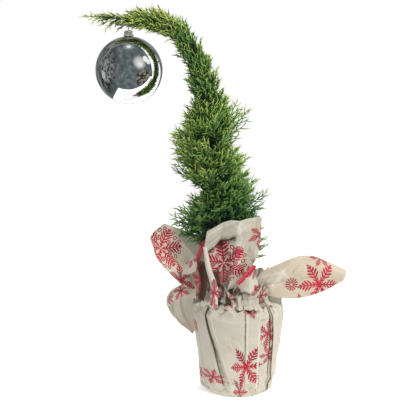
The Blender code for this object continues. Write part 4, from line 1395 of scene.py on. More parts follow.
def wrap_columns():
    """Turn at the rim and lift of each column, in the order the paper runs.

    A pleat adds five columns: back under the outer layer by the overlap, and forward
    again further in. Its outer layer sinks evenly to nothing over the spread.
    """
    folds = [row[0] for row in PLEATS + TENTS]
    crowd = np.add.outer(folds, (-2.4, -1.2, -0.4, 0.0, 0.4, 1.2, 2.4)).ravel()
    both = np.sort(np.concatenate([np.arange(-180.0, 180.0, 1.6), crowd]))
    turns = both[np.concatenate([[True], np.diff(both) > 0.25])]
    for place in folds:
        turns[np.argmin(np.abs(turns - place))] = place
    lifts = 0 * turns
    for place, _, overlap, lift, spread in PLEATS:
        off = (place - turns) * np.sign(overlap)
        lifts += lift * np.clip(1.0 - off / spread, 0.0, 1.0) * (off >= 0)
    for place, _, overlap, lift, _ in PLEATS:
        under = np.array((0.0, 0.5, 1.0, 0.5, 0.0)) * overlap
        depth = np.array((0.75, 0.45, 0.12, 0.0, -0.1)) * lift
        at = int(np.argmin(np.abs(turns - place) - 1e-6 * lifts))
        if overlap > 0:
            turns = np.insert(turns, at + 1, place - under)
            lifts = np.insert(lifts, at + 1, depth)
        else:
            turns = np.insert(turns, at, (place - under)[::-1])
            lifts = np.insert(lifts, at, depth[::-1])
    return turns, lifts * MM


def foot_turn(rim_turn):
    """Where a column that starts at a rim turn ends at the foot: the folds lead it."""
    lines = np.array(sorted(row[:2] for row in PLEATS + TENTS), dtype=float)
    lines = np.concatenate([lines[-1:] - 360, lines, lines[:1] + 360])
    return np.interp(rim_turn, *lines.T)


def nearness(turns, place, before, after, power=1):
    """1 at a turn, falling to 0 at its reach before and after it: 1 - (off / reach)^p."""
    off = (turns - place + 180.0) % 360.0 - 180.0
    return np.maximum(0.0, 1.0 - np.where(off < 0, -off / before, off / after) ** power)


def wrap_relief(turn, rim_turn, lift, height, place):
    """How far the paper stands out of its profile: folds + swells + crumple."""
    ease = smooth_step(height, 0.001, 0.010)
    rise = lift * ease * (1.0 - 0.6 * smooth_step(height, 0.134, 0.150))
    for rim, _, size, before, after, low in TENTS:
        window = smooth_step(height, low, low + 0.015)
        rise = rise + size * MM * nearness(rim_turn, rim, before, after) * window
    for middle_turn, middle, half_turn, half_height, out in SWELLS:
        bell = np.exp(-((turn - middle_turn) / half_turn) ** 2)
        rise = rise + out * bell * np.exp(-((height - middle) / half_height) ** 2)
    on_shoulder = smooth_step(height, 0.128, 0.138)
    near_foot = 1.0 - smooth_step(height, 0.020, 0.045)
    rise = rise + ease * (on_shoulder * crumple(place, *SHOULDER_CRUMPLE)
                          + (1 - on_shoulder) * crumple(place, *WALL_CRUMPLE)
                          + near_foot * crumple(place, *FOOT_CRUMPLE))
    rise[height[:, 0] <= UNDER_Z] = 0.0
    return rise, on_shoulder * crumple(place, *SHOULDER_DROP)


def dusk_of_wrap(rim_turn, height, share):
    """The wrap's painted shade: a band for each row of DUSK, wider and fainter at the foot."""
    dusk = 0.0
    for rim, before, after, depth, low in DUSK:
        after = after * 1.3 * np.maximum(0.2, 1.15 - share)
        band = nearness(rim_turn, rim, before, after, 4)
        dusk = dusk + depth * (0.4 + 0.6 * share) * band * smooth_step(height, low, low + 0.03)
    return dusk


def wrap_surface():
    """The wrap's points, its flat map and its painted shade; share is 0 at the foot and 1
    at the rim, and a column goes from its turn at the one to its turn at the other."""
    under = np.linspace(*UNDER_RADII, UNDER_ROWS)
    wall = np.linspace(WRAP_PROFILE[0, 0], RIM_Z, WALL_ROWS)
    upper = np.linspace(RIM_Z, WRAP_PROFILE[-1, 0], NECK_ROWS)[1:]
    height = np.concatenate([np.full(UNDER_ROWS, UNDER_Z), wall, upper])[:, None]
    side = np.interp(height[UNDER_ROWS:, 0], *WRAP_PROFILE.T)
    radius = np.concatenate([under, side])[:, None]
    rim_turn, lift = wrap_columns()
    paper = running(np.abs(np.diff(rim_turn)))
    paper = np.radians(paper - paper[np.argmin(np.abs(rim_turn))]) * PAPER_ROUND
    share = np.clip(height / RIM_Z, 0.0, 1.0)
    turn = foot_turn(rim_turn) * (1 - share) + rim_turn * share
    step = np.hypot(np.diff(height[:, 0]), np.diff(radius[:, 0]))
    ahead = running(step)[:, None]
    flat = np.stack([paper + 0 * ahead, ahead + 0 * turn], axis=-1)
    place = unrolled(turn, ahead, PAPER_ROUND)
    rise, drop = wrap_relief(turn, rim_turn, lift, height, place)
    rings = around_front(turn, radius + rise, height + drop)
    return rings, flat, dusk_of_wrap(rim_turn, height, share)


wrap_rings, wrap_flat, wrap_dusk = wrap_surface()
wrap_points, wrap_four, wrap_three = capped(wrap_rings, top=False)
paper_turn = 2 * wrap_flat[0, -1, 0] - wrap_flat[0, -2, 0] - wrap_flat[0, 0, 0]
WRAP_PRINTS = (
    # kind, x along the paper from the front, y from the middle of the underside, in mm
    ("leafy", 9, 97, 36, 2), ("leafy", -12, 53, 26, 0), ("leafy", -86, 74, 10, 0),
    ("leafy", -64, 75, 14, 12), ("leafy", 16, 190, 15, 40), ("leafy", 53, 148, 25, 20),
    ("leafy", 56, 112, 17, 0), ("lace", -125, 120, 30, 0), ("leafy", -160, 70, 26, 10),
    ("burst", -85, 150, 10, 0, 0.2), ("lace", 190, 110, 30, 30), ("leafy", 240, 160, 24, 0),
    ("burst", 150, 70, 10, 0, 0.15), ("leafy", -215, 130, 26, 15))
wrap_look = paper_material("wrap_print", PAPER_FRONT, WRAP_PRINTS)
wrap_corners = np.concatenate([corner_map(wrap_flat, paper_turn),
                               np.zeros((wrap_three.size, 2))])
wrap = put_mesh("wrap_body_paper", wrap_points, wrap_four, wrap_three,
                looks=[wrap_look, plain_back], flat=wrap_corners)
mark_folds(wrap, wrap_rings, spare=1, dusk=wrap_dusk)
thicken(wrap, PAPER_THICKNESS, offset=-1.0, back=1)
finished(wrap, "wrapping_paper", "wrap_body")

# %% [markdown]
# ## The gathered throat
#
# Where the ribbon draws the paper in, it runs into many small pleats and opens again
# above. This funnel stands inside the lobes, lower at the front right, where one looks
# into a dark hollow. Its radius adds a triangle wave round the turn, deepest at the tie.

# %% Throat
THROAT_TOP = np.array((
    # turn, height of the funnel's edge
    (-180, 0.184), (-120, 0.187), (-62, 0.180), (-30, 0.176), (-8, 0.166), (25, 0.165),
    (45, 0.176), (90, 0.183), (140, 0.187), (180, 0.184)))
THROAT_FOOT_Z = 0.1500
THROAT_PROFILE = np.array(((0.1500, 0.0395), (0.1580, 0.0378), (0.1700, 0.0400),
                           (0.1900, 0.0450)))
PLEAT_COUNT, PLEAT_DEPTH = 27, 0.0022
THROAT_ROUND = 0.040         # radius at which a turn is measured as paper length
THROAT_CRUMPLE = (0.0012, 31, 4, 0.018)


def throat_surface():
    """Points of the funnel: profile radius + a triangle wave in the turn."""
    turn = whole_turn(280)
    share = np.linspace(0.0, 1.0, 40)[:, None]
    top = np.interp(turn, *THROAT_TOP.T) + 0.003 * np.sin(np.radians(turn) * 9 + 1.0)
    height = THROAT_FOOT_Z + (top - THROAT_FOOT_Z) * share
    phase = PLEAT_COUNT * turn / 360.0 + 0.15 * np.sin(np.radians(3 * turn))
    wave = 2.0 * np.abs(phase % 1.0 - 0.5) - 0.5
    radius = np.interp(height, *THROAT_PROFILE.T)
    radius = radius + PLEAT_DEPTH * wave * (1.0 - 0.35 * share)
    flat = unrolled(turn, height, THROAT_ROUND)
    radius = radius + crumple(flat, *THROAT_CRUMPLE)
    return around_front(turn, radius, height), flat


throat_rings, throat_flat = throat_surface()
throat_prints = (("leafy", -45, 165, 15, 0), ("leafy", 30, 180, 12, 0))
throat_look = paper_material("throat_print", PAPER_FRONT, throat_prints)
throat = put_sheet("wrap_throat_paper", throat_rings, throat_flat,
                   [throat_look, plain_back], 2 * pi * THROAT_ROUND)
mark_folds(throat, throat_rings)
thicken(throat, PAPER_THICKNESS, back=1)
finished(throat, "wrapping_paper")

# %% [markdown]
# ## The gathers in front
#
# In front the folds of the paper fall over the ribbon and hide it. They are drawn up as
# a strip of deep uneven pleats that stands just outside the band. Its radius adds
# triangle waves of two lengths, and its ends dive in under the lobes.

# %% Gathers
GATHER_ENDS = (-118.0, 112.0)
GATHER_TOP = np.array((
    # turn, height of the strip's upper edge
    (-118, 0.160), (-80, 0.164), (-60, 0.166), (-44, 0.180), (-30, 0.178), (-16, 0.168),
    (4, 0.163), (24, 0.166), (45, 0.176), (70, 0.170), (112, 0.162)))
GATHER_FOOT_Z = 0.1440
GATHER_PROFILE = np.array(((0.1440, 0.0560), (0.1490, 0.0490), (0.1560, 0.0468),
                           (0.1650, 0.0478), (0.1800, 0.0530), (0.1920, 0.0580)))
GATHER_DIM = 0.0004          # paper further in than the profile plus this is dimmed
GATHER_PLEATS = ((14.0, 0.0062), (33.0, 0.0014))     # pleats in a full turn, depth
GATHER_ROUND, GATHER_CRUMPLE = 0.055, (0.0016, 51, 4, 0.016)


def gather_surface():
    """Points of the strip: profile radius + two triangle waves in the turn."""
    turn = np.linspace(*GATHER_ENDS, 240)[None, :]
    share = np.linspace(0.0, 1.0, 46)[:, None]
    top = np.interp(turn, *GATHER_TOP.T) + 0.004 * np.sin(np.radians(turn) * 11)
    height = GATHER_FOOT_Z + (top - GATHER_FOOT_Z) * share
    radius = np.interp(height, *GATHER_PROFILE.T)
    for number, depth in GATHER_PLEATS:
        bend = 0.35 * np.sin(np.radians(5 * turn) + 30 * (height - GATHER_FOOT_Z))
        phase = number * turn / 360.0 + bend
        radius = radius + depth * (2.0 * np.abs(phase % 1.0 - 0.5) - 0.35)
    end = np.minimum(turn - GATHER_ENDS[0], GATHER_ENDS[1] - turn)
    radius = radius - 0.0060 * (1.0 - smooth_step(end, 0.0, 14.0))
    flat = unrolled(turn, height, GATHER_ROUND)
    radius = radius + crumple(flat, *GATHER_CRUMPLE)
    # painted shade: the hollows between the pleats are darkened, the deeper the darker
    sunk = np.interp(height, *GATHER_PROFILE.T) + GATHER_DIM - radius
    dusk = 1.1 * np.clip(sunk / 0.0030, 0.0, 1.0)
    return around_front(turn, radius, height), flat, dusk


gather_grid, gather_flat, gather_dusk = gather_surface()
GATHER_PRINTS = (("leafy", -46, 172, 20, 20), ("leafy", -18, 158, 14, 0),
                 ("leafy", 14, 176, 13, 40), ("leafy", 44, 160, 14, 0))
gather_look = paper_material("gather_print", PAPER_FRONT, GATHER_PRINTS)
gather = put_sheet("wrap_gather_paper", gather_grid, gather_flat, [gather_look, plain_back])
mark_folds(gather, gather_grid, dusk=gather_dusk)
thicken(gather, PAPER_THICKNESS, back=1)
finished(gather, "wrapping_paper")

# %% [markdown]
# ## Satin ribbon
#
# The ribbon is woven satin: smooth, with a soft highlight that runs along its threads.
# The threads are a fine wave across the flat map. Two loose ends stand at the front,
# each folded along its middle, and a band goes round the neck under the paper's fall.

# %% Ribbon
RIBBON_THICKNESS = 0.0003
BAND_RADIUS, BAND_Z, BAND_HEIGHT = 0.0437, 0.1535, 0.0060
RIBBON_FACES = (0.25, -1.0, 0.1)       # the way the loose ends face
RIBBON_ENDS = {
    # width, then the middle line from its loose end to the neck, in millimetres
    "ribbon_left": (8.0, ((-50, -54, 251), (-56, -50, 238), (-62, -44, 224), (-64, -38, 213))),
    "ribbon_right": (7.4, ((22, -66, 216), (16, -66, 208), (9, -65, 200), (-3, -61, 186))),
}
SATIN_DEEP, SATIN_BRIGHT = (0.48, 0.006, 0.022), (0.70, 0.016, 0.045)


def make_satin():
    """Red satin: threads as a fine wave across the flat map, and a little sheen."""
    made, shader, place, flat = new_material("ribbon_satin", 0.34, 0.0, 0.6)
    threads = add_node(flat.tree, "TexWave", {"Vector": flat, "Scale": 90.0}, 1,
                       bands_direction="X")
    shader.inputs["Sheen Weight"].default_value = 0.3
    dress(shader, blend(noise(place, 60.0), SATIN_DEEP, SATIN_BRIGHT), threads, 0.0001)
    return made


def ribbon_sheet(width, path, seed):
    """A loose end as a sheet: its rails stand half a width to each side of the path."""
    middle = np.array(path, dtype=float)
    across = unit(np.cross(np.gradient(middle, axis=0), RIBBON_FACES))
    half = width / 2 * across
    return {"left": middle - half, "right": middle + half, "bow": (0, -0.6, 0),
            "seed": seed, "crumple": 0.2, "grid": (50, 14),
            "creases": ((0.42, 0.0, 0.50, 1.0, -2.6, 4.0),)}


satin = make_satin()
ribbon_grids = []
for seed, (name, (width, path)) in enumerate(RIBBON_ENDS.items(), start=41):
    grid, flat = sheet_surface(ribbon_sheet(width, path, seed))
    end = put_sheet(name + "_satin", grid, flat, [satin])
    thicken(end, RIBBON_THICKNESS)
    finished(end, "ribbon_satin", name)
    ribbon_grids.append(grid)


def band_surface():
    """Rings of the band, a little wavy in radius and height, and its flat map."""
    turn = whole_turn(300)
    share = np.linspace(0.0, 1.0, 9)[:, None]
    height = BAND_Z + BAND_HEIGHT * share + 0.0004 * np.sin(np.radians(7 * turn))
    radius = BAND_RADIUS + 0.0003 * np.sin(np.radians(23 * turn) + 5 * share)
    flat = unrolled(turn, height, BAND_RADIUS)
    return around_front(turn, radius, height), flat[..., ::-1]


band = put_sheet("ribbon_band_satin", *band_surface(), [satin], 0.0)
thicken(band, RIBBON_THICKNESS)
finished(band, "ribbon_satin", "ribbon_band")

# %% [markdown]
# ## Pot and potting mix
#
# Inside the wrap is a thin black nursery pot, which keeps its solid's shape and gets the
# slight sheen and fine grain of blown plastic. The mix is lumpy peat with white grains
# of perlite: the lumps are a sum of waves, and the grains are cells picked at random.

# %% Pot and soil
POT_BLACK, POT_DUST = (0.014, 0.014, 0.014), (0.06, 0.052, 0.042)
PEAT_DARK, PEAT_LIGHT = (0.018, 0.010, 0.006), (0.085, 0.050, 0.030)
PERLITE = (0.62, 0.60, 0.55)


def make_pot_plastic():
    """Black plastic with a fine grain and patches of dust."""
    made, shader, place, _ = new_material("pot_plastic", 0.48, 0.0, 0.4)
    colour = blend(ramp(noise(place, 35.0, 3.0), 0.5, 0.8), POT_BLACK, POT_DUST)
    dress(shader, colour, noise(place, 600.0), 0.0002)
    return made


def make_peat():
    """Peat from a fine noise; the few cells whose random colour is high are perlite."""
    made, shader, place, _ = new_material("potting_mix", 0.95, 0.0, 0.15)
    cells = add_node(place.tree, "TexVoronoi", {"Vector": place, "Scale": 260.0}, "Color")
    pick = add_node(place.tree, "SeparateColor", {0: cells})
    fine = noise(place, 300.0, 4.0, 0.7)
    colour = blend(ramp(pick, 0.93, 0.94), blend(fine, PEAT_DARK, PEAT_LIGHT), PERLITE)
    dress(shader, colour, fine, 0.002)
    return made


pot = frame["nodes"]["pot"]
pot.data.materials.clear()
pot.data.materials.append(make_pot_plastic())


def soil_surface():
    """Rings of the mix: flat floor, sloping side, and a lumpy top by sums of waves."""
    low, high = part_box("soil")
    floor, top, edge = low[2], high[2], high[0]
    foot = 0.76 * edge
    side = np.linspace(0.0, 1.0, 12)[:, None]
    inward = np.linspace(1.0, 0.03, 40)[1:, None]
    turn = whole_turn(120)
    radius = np.concatenate([foot * np.array([[0.05], [0.98]]),
                             foot + (edge - 0.0006 - foot) * side, edge * inward])
    height = np.concatenate([np.full((2, 1), floor), floor + (top - floor) * side,
                             0 * inward + top])
    rings = around_front(turn, radius, height)
    x, y = rings[..., 0], rings[..., 1]
    lumps = (np.sin(310 * x + 80 * y) * np.sin(270 * y - 60 * x)
             + 0.6 * np.sin(730 * x) * np.sin(690 * y + 200 * x))
    on_top = smooth_step(height, top - 0.002, top)
    rings[..., 2] += on_top * (0.0011 * lumps - 0.0012)
    return rings


soil = put_mesh("potting_mix_top", *capped(soil_surface()), [make_peat()])
finished(soil, "potting_mix", "soil")

# %% [markdown]
# ## The bauble
#
# A silvered ball is a true mirror with a little haze of dust. Its outline is an arc, with
# a short neck that goes up into a thin stamped cap. The cap's foot is scalloped: its
# radius and its edge both follow |cos| of the turn. A wire loop runs through the cap's
# top and over the leader.

# %% Bauble, cap and hanger
BAUBLE_RADIUS = 0.050
BAUBLE_CENTRE = np.array((-0.1652, 0.0, 0.4999))
NECK_RADIUS, NECK_HEIGHT = 0.0048, 0.0035
CAP_RADIUS, CAP_HEIGHT, CAP_WALL, SCALLOPS = 0.0066, 0.0085, 0.0004, 8
WIRE_RADIUS, WIRE_CLEARANCE, WIRE_SIDES = 0.0006, 0.0006, 10
SILVER, SILVER_DIM = (0.77, 0.78, 0.785), (0.70, 0.72, 0.73)
TIN_BRIGHT, TIN_DULL = (0.66, 0.65, 0.61), (0.24, 0.22, 0.19)


def turned_rings(profile, columns):
    """Rings from a profile of (radius, height) rows round the bauble's upright axis."""
    angle = 2 * pi * np.arange(columns)[None, :] / columns
    radius, height = profile[:, :1], profile[:, 1:]
    rings = np.stack([radius * np.cos(angle), radius * np.sin(angle), height + 0 * angle],
                     axis=-1)
    return rings + BAUBLE_CENTRE


def make_mirror():
    """Silvered glass: a mirror whose haze of dust dims and roughens it a little."""
    made, shader, place, _ = new_material("bauble_mirror", 0.03, 1.0)
    haze = noise(place, 30.0, 4.0, 0.6)
    grey = blend(ramp(haze, 0.35, 0.75), SILVER, SILVER_DIM)
    plug(grey, shader.inputs["Base Color"])
    plug(haze * 0.05 + 0.005, shader.inputs["Roughness"])
    return made


def make_tin():
    """Thin stamped metal, worn dull in small spots."""
    made, shader, place, _ = new_material("cap_metal", 0.38, 0.55)
    wear = ramp(noise(place, 420.0, 3.0), 0.4, 0.7)
    dress(shader, blend(wear, TIN_BRIGHT, TIN_DULL), wear, 0.0002)
    return made


ball_angle = np.linspace(0.02, pi - np.arcsin(NECK_RADIUS / BAUBLE_RADIUS), 110)
ball_arc = BAUBLE_RADIUS * np.stack([np.sin(ball_angle), -np.cos(ball_angle)], axis=1)
ball_neck = ball_arc[-1] + np.array([(0.0, 0.3), (0.0, 0.7), (0.0, 1.0), (-0.3, 1.0)]
                                    ) * (NECK_RADIUS, NECK_HEIGHT)
ball_rings = turned_rings(np.concatenate([ball_arc, ball_neck]), 160)
ball = put_mesh("bauble_glass", *capped(ball_rings), [make_mirror()])
finished(ball, "bauble_mirror", "bauble")

tin = make_tin()
CAP_FOOT = (BAUBLE_RADIUS**2 - CAP_RADIUS**2) ** 0.5 + 0.0006
CAP_PROFILE = np.array((
    # share of the radius, share of the height, how much of the scallops
    (1.16, 0.02, 1.0), (1.08, 0.06, 0.8), (1.00, 0.16, 0.45), (0.96, 0.34, 0.2),
    (0.96, 0.60, 0.0), (1.02, 0.66, 0.0), (1.00, 0.74, 0.0), (0.88, 0.86, 0.0),
    (0.64, 0.95, 0.0), (0.36, 1.0, 0.0), (0.08, 1.0, 0.0)))
SCALLOP_OUT, SCALLOP_UP = 0.0009, 0.0010


def cap_surface():
    """Rings of the cap: where |cos| is 1 its foot stands out, where 0 it is notched up."""
    rings = turned_rings(CAP_PROFILE[:, :2] * (CAP_RADIUS, CAP_HEIGHT) + (0.0, CAP_FOOT), 96)
    turn = 2 * pi * np.arange(96) / 96
    scallop = np.abs(np.cos(SCALLOPS * turn / 2))
    out = unit(np.stack([np.cos(turn), np.sin(turn), 0 * turn], axis=1))
    fade = CAP_PROFILE[:, 2:]
    rings = rings + (SCALLOP_OUT * fade * scallop)[..., None] * out
    rings[..., 2] += SCALLOP_UP * fade * (1 - scallop)
    return rings


cap = put_mesh("bauble_cap_tin", *capped(cap_surface(), foot=False), [tin])
thicken(cap, CAP_WALL, offset=-1.0)
# Foliage looks flat in one green. Here a spray deep inside the plant is darker and bluer, as
# painted shade, and along each spray the green is darker near its root, again painted shade,
# and fresher towards its tip; the bent top is yellower than the foot. A smooth pattern would be
# muddled on such fine meshes, so there is a short scale of plain greens, and every shoot is
# dealt a step on it: a base step for its mass, a shift for its spray, and a rise along the
# spray.
finished(cap, "cap_metal", "bauble_cap")


def wire_path():
    """The wire's closed line: two straight legs and an arc over the leader."""
    s = np.interp(-BAUBLE_CENTRE[0], -WALK[:, 0], WALK_S)
    top = trunk_point(s)[2]
    loop = trunk_radius(s) + WIRE_CLEARANCE + WIRE_RADIUS
    foot = BAUBLE_CENTRE[2] + CAP_FOOT + CAP_HEIGHT + 0.0003 + WIRE_RADIUS
    arc = np.radians(np.linspace(-20.0, 200.0, 26))
    over = np.stack([loop * np.cos(arc), top + loop * np.sin(arc)], axis=1)
    under = np.radians(np.linspace(180.0, 360.0, 9))
    below = np.stack([0.0015 * np.cos(under), foot + 0.0015 * (1 + np.sin(under))], axis=1)
    up = below[-1] + np.linspace(0, 1, 12)[1:-1, None] * (over[0] - below[-1])
    down = over[-1] + np.linspace(0, 1, 12)[1:-1, None] * (below[0] - over[-1])
    flat = np.concatenate([below, up, over, down])
    return np.stack([0 * flat[:, 0] + BAUBLE_CENTRE[0], flat[:, 0], flat[:, 1]], axis=1)


def closed_wire(path, radius, sides):
    """Rings round a closed path in an upright plane: X is one way across, and the
    path's direction times X is the other."""
    along = unit(np.roll(path, -1, axis=0) - np.roll(path, 1, axis=0))
    side_way = np.array((1.0, 0.0, 0.0))
    out = np.cross(along, side_way)
    angle = 2 * pi * np.arange(sides)[:, None] / sides
    return path[:, None] + radius * (np.cos(angle) * side_way
                                     + np.sin(angle) * out[:, None])


wire_rings = closed_wire(wire_path(), WIRE_RADIUS, WIRE_SIDES)
wire_four = quads(len(wire_rings) + 1, WIRE_SIDES, closed=True) % wire_rings[..., 0].size
hanger = put_mesh("bauble_hanger_wire", wire_rings.reshape(-1, 3), wire_four, looks=[tin])
finished(hanger, "cap_metal", "bauble_hanger")

# %% [markdown]
# ## Growing the foliage
#
# Each mass has a number of boughs. They spring from the trunk one golden angle apart,
# lean forwards by the slope for their height, and end in a spray, with more sprays on
# alternate sides and small dark ones further in. Four long stray sprays low on the right
# are listed one by one. A spray that would come too near the paper or the ball is tried
# shorter, and left out if it still doesn't fit. All sprays of one pattern are made at
# once: the pattern's paths times each spray's axes.

# %% Foliage
MASSES = (
    # name, start s, end s, boughs, base step of green, habit, sprays to the sides
    ("base", 0.100, 0.128, 30, 1.1, "open", 2), ("lower", 0.128, 0.164, 38, 1.6, "open", 2),
    ("middle", 0.164, 0.206, 34, 2.6, "open", 3), ("upper", 0.206, 0.254, 34, 3.4, "open", 3),
    ("neck", 0.254, 0.318, 34, 3.5, "open", 3), ("bend", 0.318, 0.420, 54, 3.1, "close", 3),
    ("arch", 0.420, 0.520, 46, 4.5, "close", 3))
GOLDEN = pi * (3 - 5 ** 0.5)
# painted shade: the rise makes a spray darker near its root and lighter at its tip
TIP_RISE, RISE_MIDDLE = 4.2, 0.42    # steps of green along a spray; where it adds none
TWIG_DARKER, GREEN_SPREAD = 0.4, 0.45    # in steps of green
TRIES = (1.0, 0.85, 0.70, 0.55)
FAN_UPRIGHT, FAN_SPREAD = 1.45, 0.42    # how far a fan's plane is rolled, in radians
SPRAY_LEAST = 0.010
BOUGH_SHARE = 0.60           # a bough's length, over the reach there
BOUGH_STOPS, BOUGH_RADII = 7, (0.0014, 0.0007)
# where a spray springs and ends, in shares of the reach, and how far aside, in radians
END_ROOT, END_TIP = (0.16, 0.34), (0.82, 1.06)
SIDE_ROOT, SIDE_TIP, SIDE_TURN = (0.14, 0.46), (0.55, 0.95), (0.25, 0.62)
INNER_ROOT, INNER_TIP, INNER_TURN = (0.06, 0.14), (0.50, 0.70), 0.9
PAPER_CLEARANCE, BALL_CLEARANCE = 0.0028, 0.0020
twig_brown = leaf_material("twig_brown", (0.050, 0.036, 0.022))
twig_green = leaf_material("twig_green", (0.040, 0.075, 0.026))

obstacles = lobe_grids + ribbon_grids + [gather_grid, wire_path(), throat_rings]
obstacles = np.concatenate([grid.reshape(-1, 3) for grid in obstacles])
paper_tree = mathutils.kdtree.KDTree(len(obstacles))
for index, point in enumerate(obstacles):
    paper_tree.insert(point, index)
paper_tree.balance()


def is_clear(points):
    """True if no point is too near the ball, the paper, the ribbon or the wire."""
    if np.linalg.norm(points - BAUBLE_CENTRE, axis=1).min() < BAUBLE_RADIUS + BALL_CLEARANCE:
        return False
    return all(paper_tree.find(point)[2] > PAPER_CLEARANCE for point in points)


def lay_sprays(root, tip, turn, t, roll, patterns):
    """Axes, lengths and patterns for sprays from root to tip that fit.

    The first axis runs along the spray, the second across its fan: that is the way
    round the trunk, rolled about the first.
    """
    kept = []
    ahead = unit(tip - root)
    _, right, back = trunk_frame(t)
    sideways = -np.sin(turn)[:, None] * right + np.cos(turn)[:, None] * back
    sideways = unit(sideways - (sideways * ahead).sum(axis=1, keepdims=True) * ahead)
    across = (np.cos(roll)[:, None] * sideways
              + np.sin(roll)[:, None] * np.cross(ahead, sideways))
    axes = np.stack([ahead, across, np.cross(ahead, across)], axis=1)
    full = np.linalg.norm(tip - root, axis=1)
    variants = rng.integers(0, PATTERNS_EACH, len(root))
    for n in range(len(root)):
        for share in TRIES:
            length = full[n] * share
            if length < SPRAY_LEAST:
                break
            kind = int(np.argmin(np.abs(PATTERN_LENGTHS - length)))
            pattern = patterns[kind][variants[n]]
            size = length / pattern["length"]
            tested = np.concatenate([pattern["stem"][0], pattern["shoots"][:, -1]])
            if is_clear(root[n] + size * tested @ axes[n]):
                kept.append((kind, variants[n], size, n))
                break
    return kept, axes


def grow_mass(name, boughs, arrays, base, habit):
    """Turn sprays and boughs into two joined pieces: leaves and twigs."""
    *places, shift = arrays
    root = places[0]
    patterns = PATTERNS[habit]
    kept, axes = lay_sprays(*places, patterns)
    leaves, twigs = Bundle(), Bundle()
    for kind in range(len(PATTERN_LENGTHS)):
        for variant in range(PATTERNS_EACH):
            chosen = [row for row in kept if row[:2] == (kind, variant)]
            if chosen:
                place_pattern(patterns[kind][variant], chosen, root, axes, shift + base,
                              leaves, twigs)
    paths, radii, facing = boughs
    twigs.add(paths, radii, facing, 5, np.zeros(len(paths), dtype=int))
    node = "foliage_" + name
    finished(leaves.finish("leaves_" + name, leaf_looks), "foliage", node)
    finished(twigs.finish("twigs_" + name, [twig_brown, twig_green]), "bark", node)
    return len(kept)


def place_pattern(pattern, chosen, root, axes, level, leaves, twigs):
    """Add every spray of one pattern: root + size * paths times axes."""
    rows = np.array([row[3] for row in chosen])
    size = np.array([row[2] for row in chosen])[:, None, None, None]
    turned = axes[rows]
    parts = (("stem", STEM_RADIUS, 5, twigs), ("twigs", TWIG_RADIUS, 3, leaves),
             ("shoots", SHOOT_RADIUS, 3, leaves))
    for part, radius, sides, bundle in parts:
        paths = pattern[part]
        count, stops, _ = paths.shape
        placed = np.einsum("nsk,mkj->mnsj", paths, turned)
        placed = root[rows][:, None, None, :] + size * placed
        taper = radius * np.linspace(1.0, 0.72, stops)
        facing = np.repeat(turned[:, 2], count, axis=0)
        along = paths[:, 0, 0] / pattern["length"]
        if part == "stem":
            looks = np.ones(len(rows), dtype=int)
        else:
            rise = TIP_RISE * (along[None, :] - RISE_MIDDLE)
            if part == "twigs":
                rise = rise - TWIG_DARKER
            spread = rng.normal(0, GREEN_SPREAD, (len(rows), count))
            step = level[rows][:, None] + rise + spread
            looks = np.clip(np.round(step), 0, len(GREENS) - 1).astype(int).ravel()
            looks[rng.random(len(looks)) < DEAD_SHARE] = DEAD
        bundle.add(placed.reshape(-1, stops, 3), np.tile(taper, (len(rows) * count, 1)),
                   facing, sides, looks)


def mass_sprays(start, end, count, to_sides):
    """Boughs of one mass and its sprays: at each bough's end, to its sides, and within."""
    number = np.arange(count)
    t = start + (end - start) * (number + 0.5 + rng.uniform(-0.3, 0.3, count)) / count
    turn = rng.uniform(0, 2 * pi) + GOLDEN * number
    full = tip_radius(t, turn)
    share = np.linspace(0.0, 1.0, BOUGH_STOPS)[None, :]
    inner = 0.6 * trunk_radius(t)
    outer = BOUGH_SHARE * full
    line = inner[:, None] + (outer - inner)[:, None] * share
    paths = sheared(t[:, None] + 0 * line, line, turn[:, None] + 0 * line)
    radii = np.linspace(*BOUGH_RADII, BOUGH_STOPS)[None, :] * np.ones((count, 1))
    _, right, back = trunk_frame(t)
    facing = -np.sin(turn)[:, None] * right + np.cos(turn)[:, None] * back
    ends = [(t, turn, rng.uniform(*END_ROOT, count), t, turn,
             rng.uniform(*END_TIP, count), 0.3 + 0 * t)]
    for k in range(to_sides):
        aside = (-1.0) ** k * rng.uniform(*SIDE_TURN, count)
        ends.append((t, turn, rng.uniform(*SIDE_ROOT, count),
                     t + rng.uniform(-0.008, 0.004, count), turn + aside,
                     rng.uniform(*SIDE_TIP, count), rng.normal(0, 0.3, count)))
    # small sprays further in, two steps of green darker: painted shade
    ends.append((t, turn, rng.uniform(*INNER_ROOT, count), t - 0.004,
                 turn + rng.uniform(-INNER_TURN, INNER_TURN, count),
                 rng.uniform(*INNER_TIP, count), -2.0 + 0 * t))
    t0, turn0, first, t1, turn1, last, shift = [np.concatenate(part) for part in zip(*ends)]
    root = sheared(t0, first * tip_radius(t0, turn0), turn0)
    tip = sheared(t1, last * tip_radius(t1, turn1), turn1)
    roll = FAN_UPRIGHT * np.abs(np.cos(turn0)) + rng.normal(0, FAN_SPREAD, len(root))
    shift = shift + rng.normal(0, 0.35, len(root))
    return (paths, radii, facing), (root, tip, turn0, t0, roll, shift)


STRAYS = np.array((
    # s of a long spray low on the right, and its tip in metres
    (0.115, 0.046, 0.004, 0.243), (0.130, 0.041, 0.006, 0.259),
    (0.090, 0.041, 0.004, 0.217), (0.100, 0.048, 0.012, 0.231)))


def add_strays(arrays):
    """The arrays with the stray sprays after the others."""
    s, tip = STRAYS[:, 0], STRAYS[:, 1:]
    more = (trunk_point(s), tip, 0 * s, s, 0.3 + 0 * s, 0.6 + 0 * s)
    return tuple(np.concatenate(pair) for pair in zip(arrays, more))


for name, start, end, count, base, habit, to_sides in MASSES:
    boughs, arrays = mass_sprays(start, end, count, to_sides)
    if name == "base":
        arrays = add_strays(arrays)
    print(name, "sprays that fit:", grow_mass(name, boughs, arrays, base, habit),
          "of", len(arrays[0]))

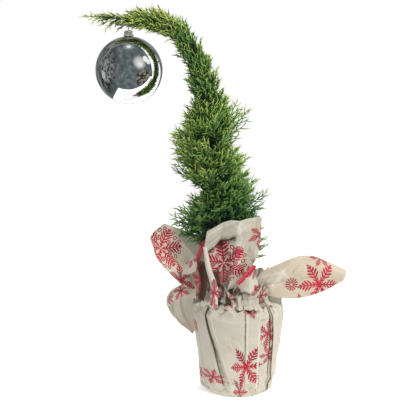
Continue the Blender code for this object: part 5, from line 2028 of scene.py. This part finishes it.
# %% [markdown]
# ## The leader's tip
#
# Past the last of the trunk is a thin green stem with a loose bunch of sprays. It grows
# by the same rule, from a short table: where each spray springs, how long it is, and how
# far it rises and swings from the leader's line.

# %% Tip
TIP_STEM_LENGTH = 0.022
TIP_SPRAYS = np.array((
    # start, length, rise and swing in degrees
    (0.002, 0.026, -30, 28), (0.004, 0.022, 20, 20), (0.005, 0.030, -34, -14),
    (0.008, 0.030, 14, -24), (0.010, 0.032, -22, -20), (0.013, 0.030, -14, 14),
    (0.016, 0.030, 8, 8), (0.019, 0.044, 2, -3)))
TIP_BASE = 5.6
# every spray stands once more: this much earlier, shorter, steeper and turned back
AGAIN_BEFORE, AGAIN_LENGTH, AGAIN_RISE, AGAIN_SWING = 0.004, 0.62, 10, 34
TIP_ROLL = 1600              # radians that a fan is rolled for each metre along
TIP_STEM_RADII = (0.0012, 0.0007)


def tip_arrays():
    """Sprays of the tip: each heads along the leader, turned by its rise and swing."""
    place, length, rise, swing = np.tile(TIP_SPRAYS, (2, 1)).T
    again = np.arange(len(place)) >= len(TIP_SPRAYS)
    place = place - AGAIN_BEFORE * again
    length = length * np.where(again, AGAIN_LENGTH, 1.0)
    rise = np.radians(rise + AGAIN_RISE * again * np.sign(swing))
    swing = np.radians(swing - AGAIN_SWING * again * np.sign(rise))
    s = TRUNK_LENGTH + place
    along, right, back = trunk_frame(s)
    heading = along * np.cos(rise)[:, None] + right * np.sin(rise)[:, None]
    heading = heading * np.cos(swing)[:, None] + back * np.sin(swing)[:, None]
    root = trunk_point(s)
    tip = root + heading * length[:, None]
    return root, tip, 0 * place, s, TIP_ROLL * place, 0 * place


tip_s = np.linspace(TRUNK_LENGTH, TRUNK_LENGTH + TIP_STEM_LENGTH, BOUGH_STOPS)
tip_stem = (trunk_point(tip_s)[None], np.linspace(*TIP_STEM_RADII, BOUGH_STOPS)[None],
            np.array([[0.0, 1.0, 0.0]]))
print("tip sprays that fit:", grow_mass("tip", tip_stem, tip_arrays(), TIP_BASE, "close"))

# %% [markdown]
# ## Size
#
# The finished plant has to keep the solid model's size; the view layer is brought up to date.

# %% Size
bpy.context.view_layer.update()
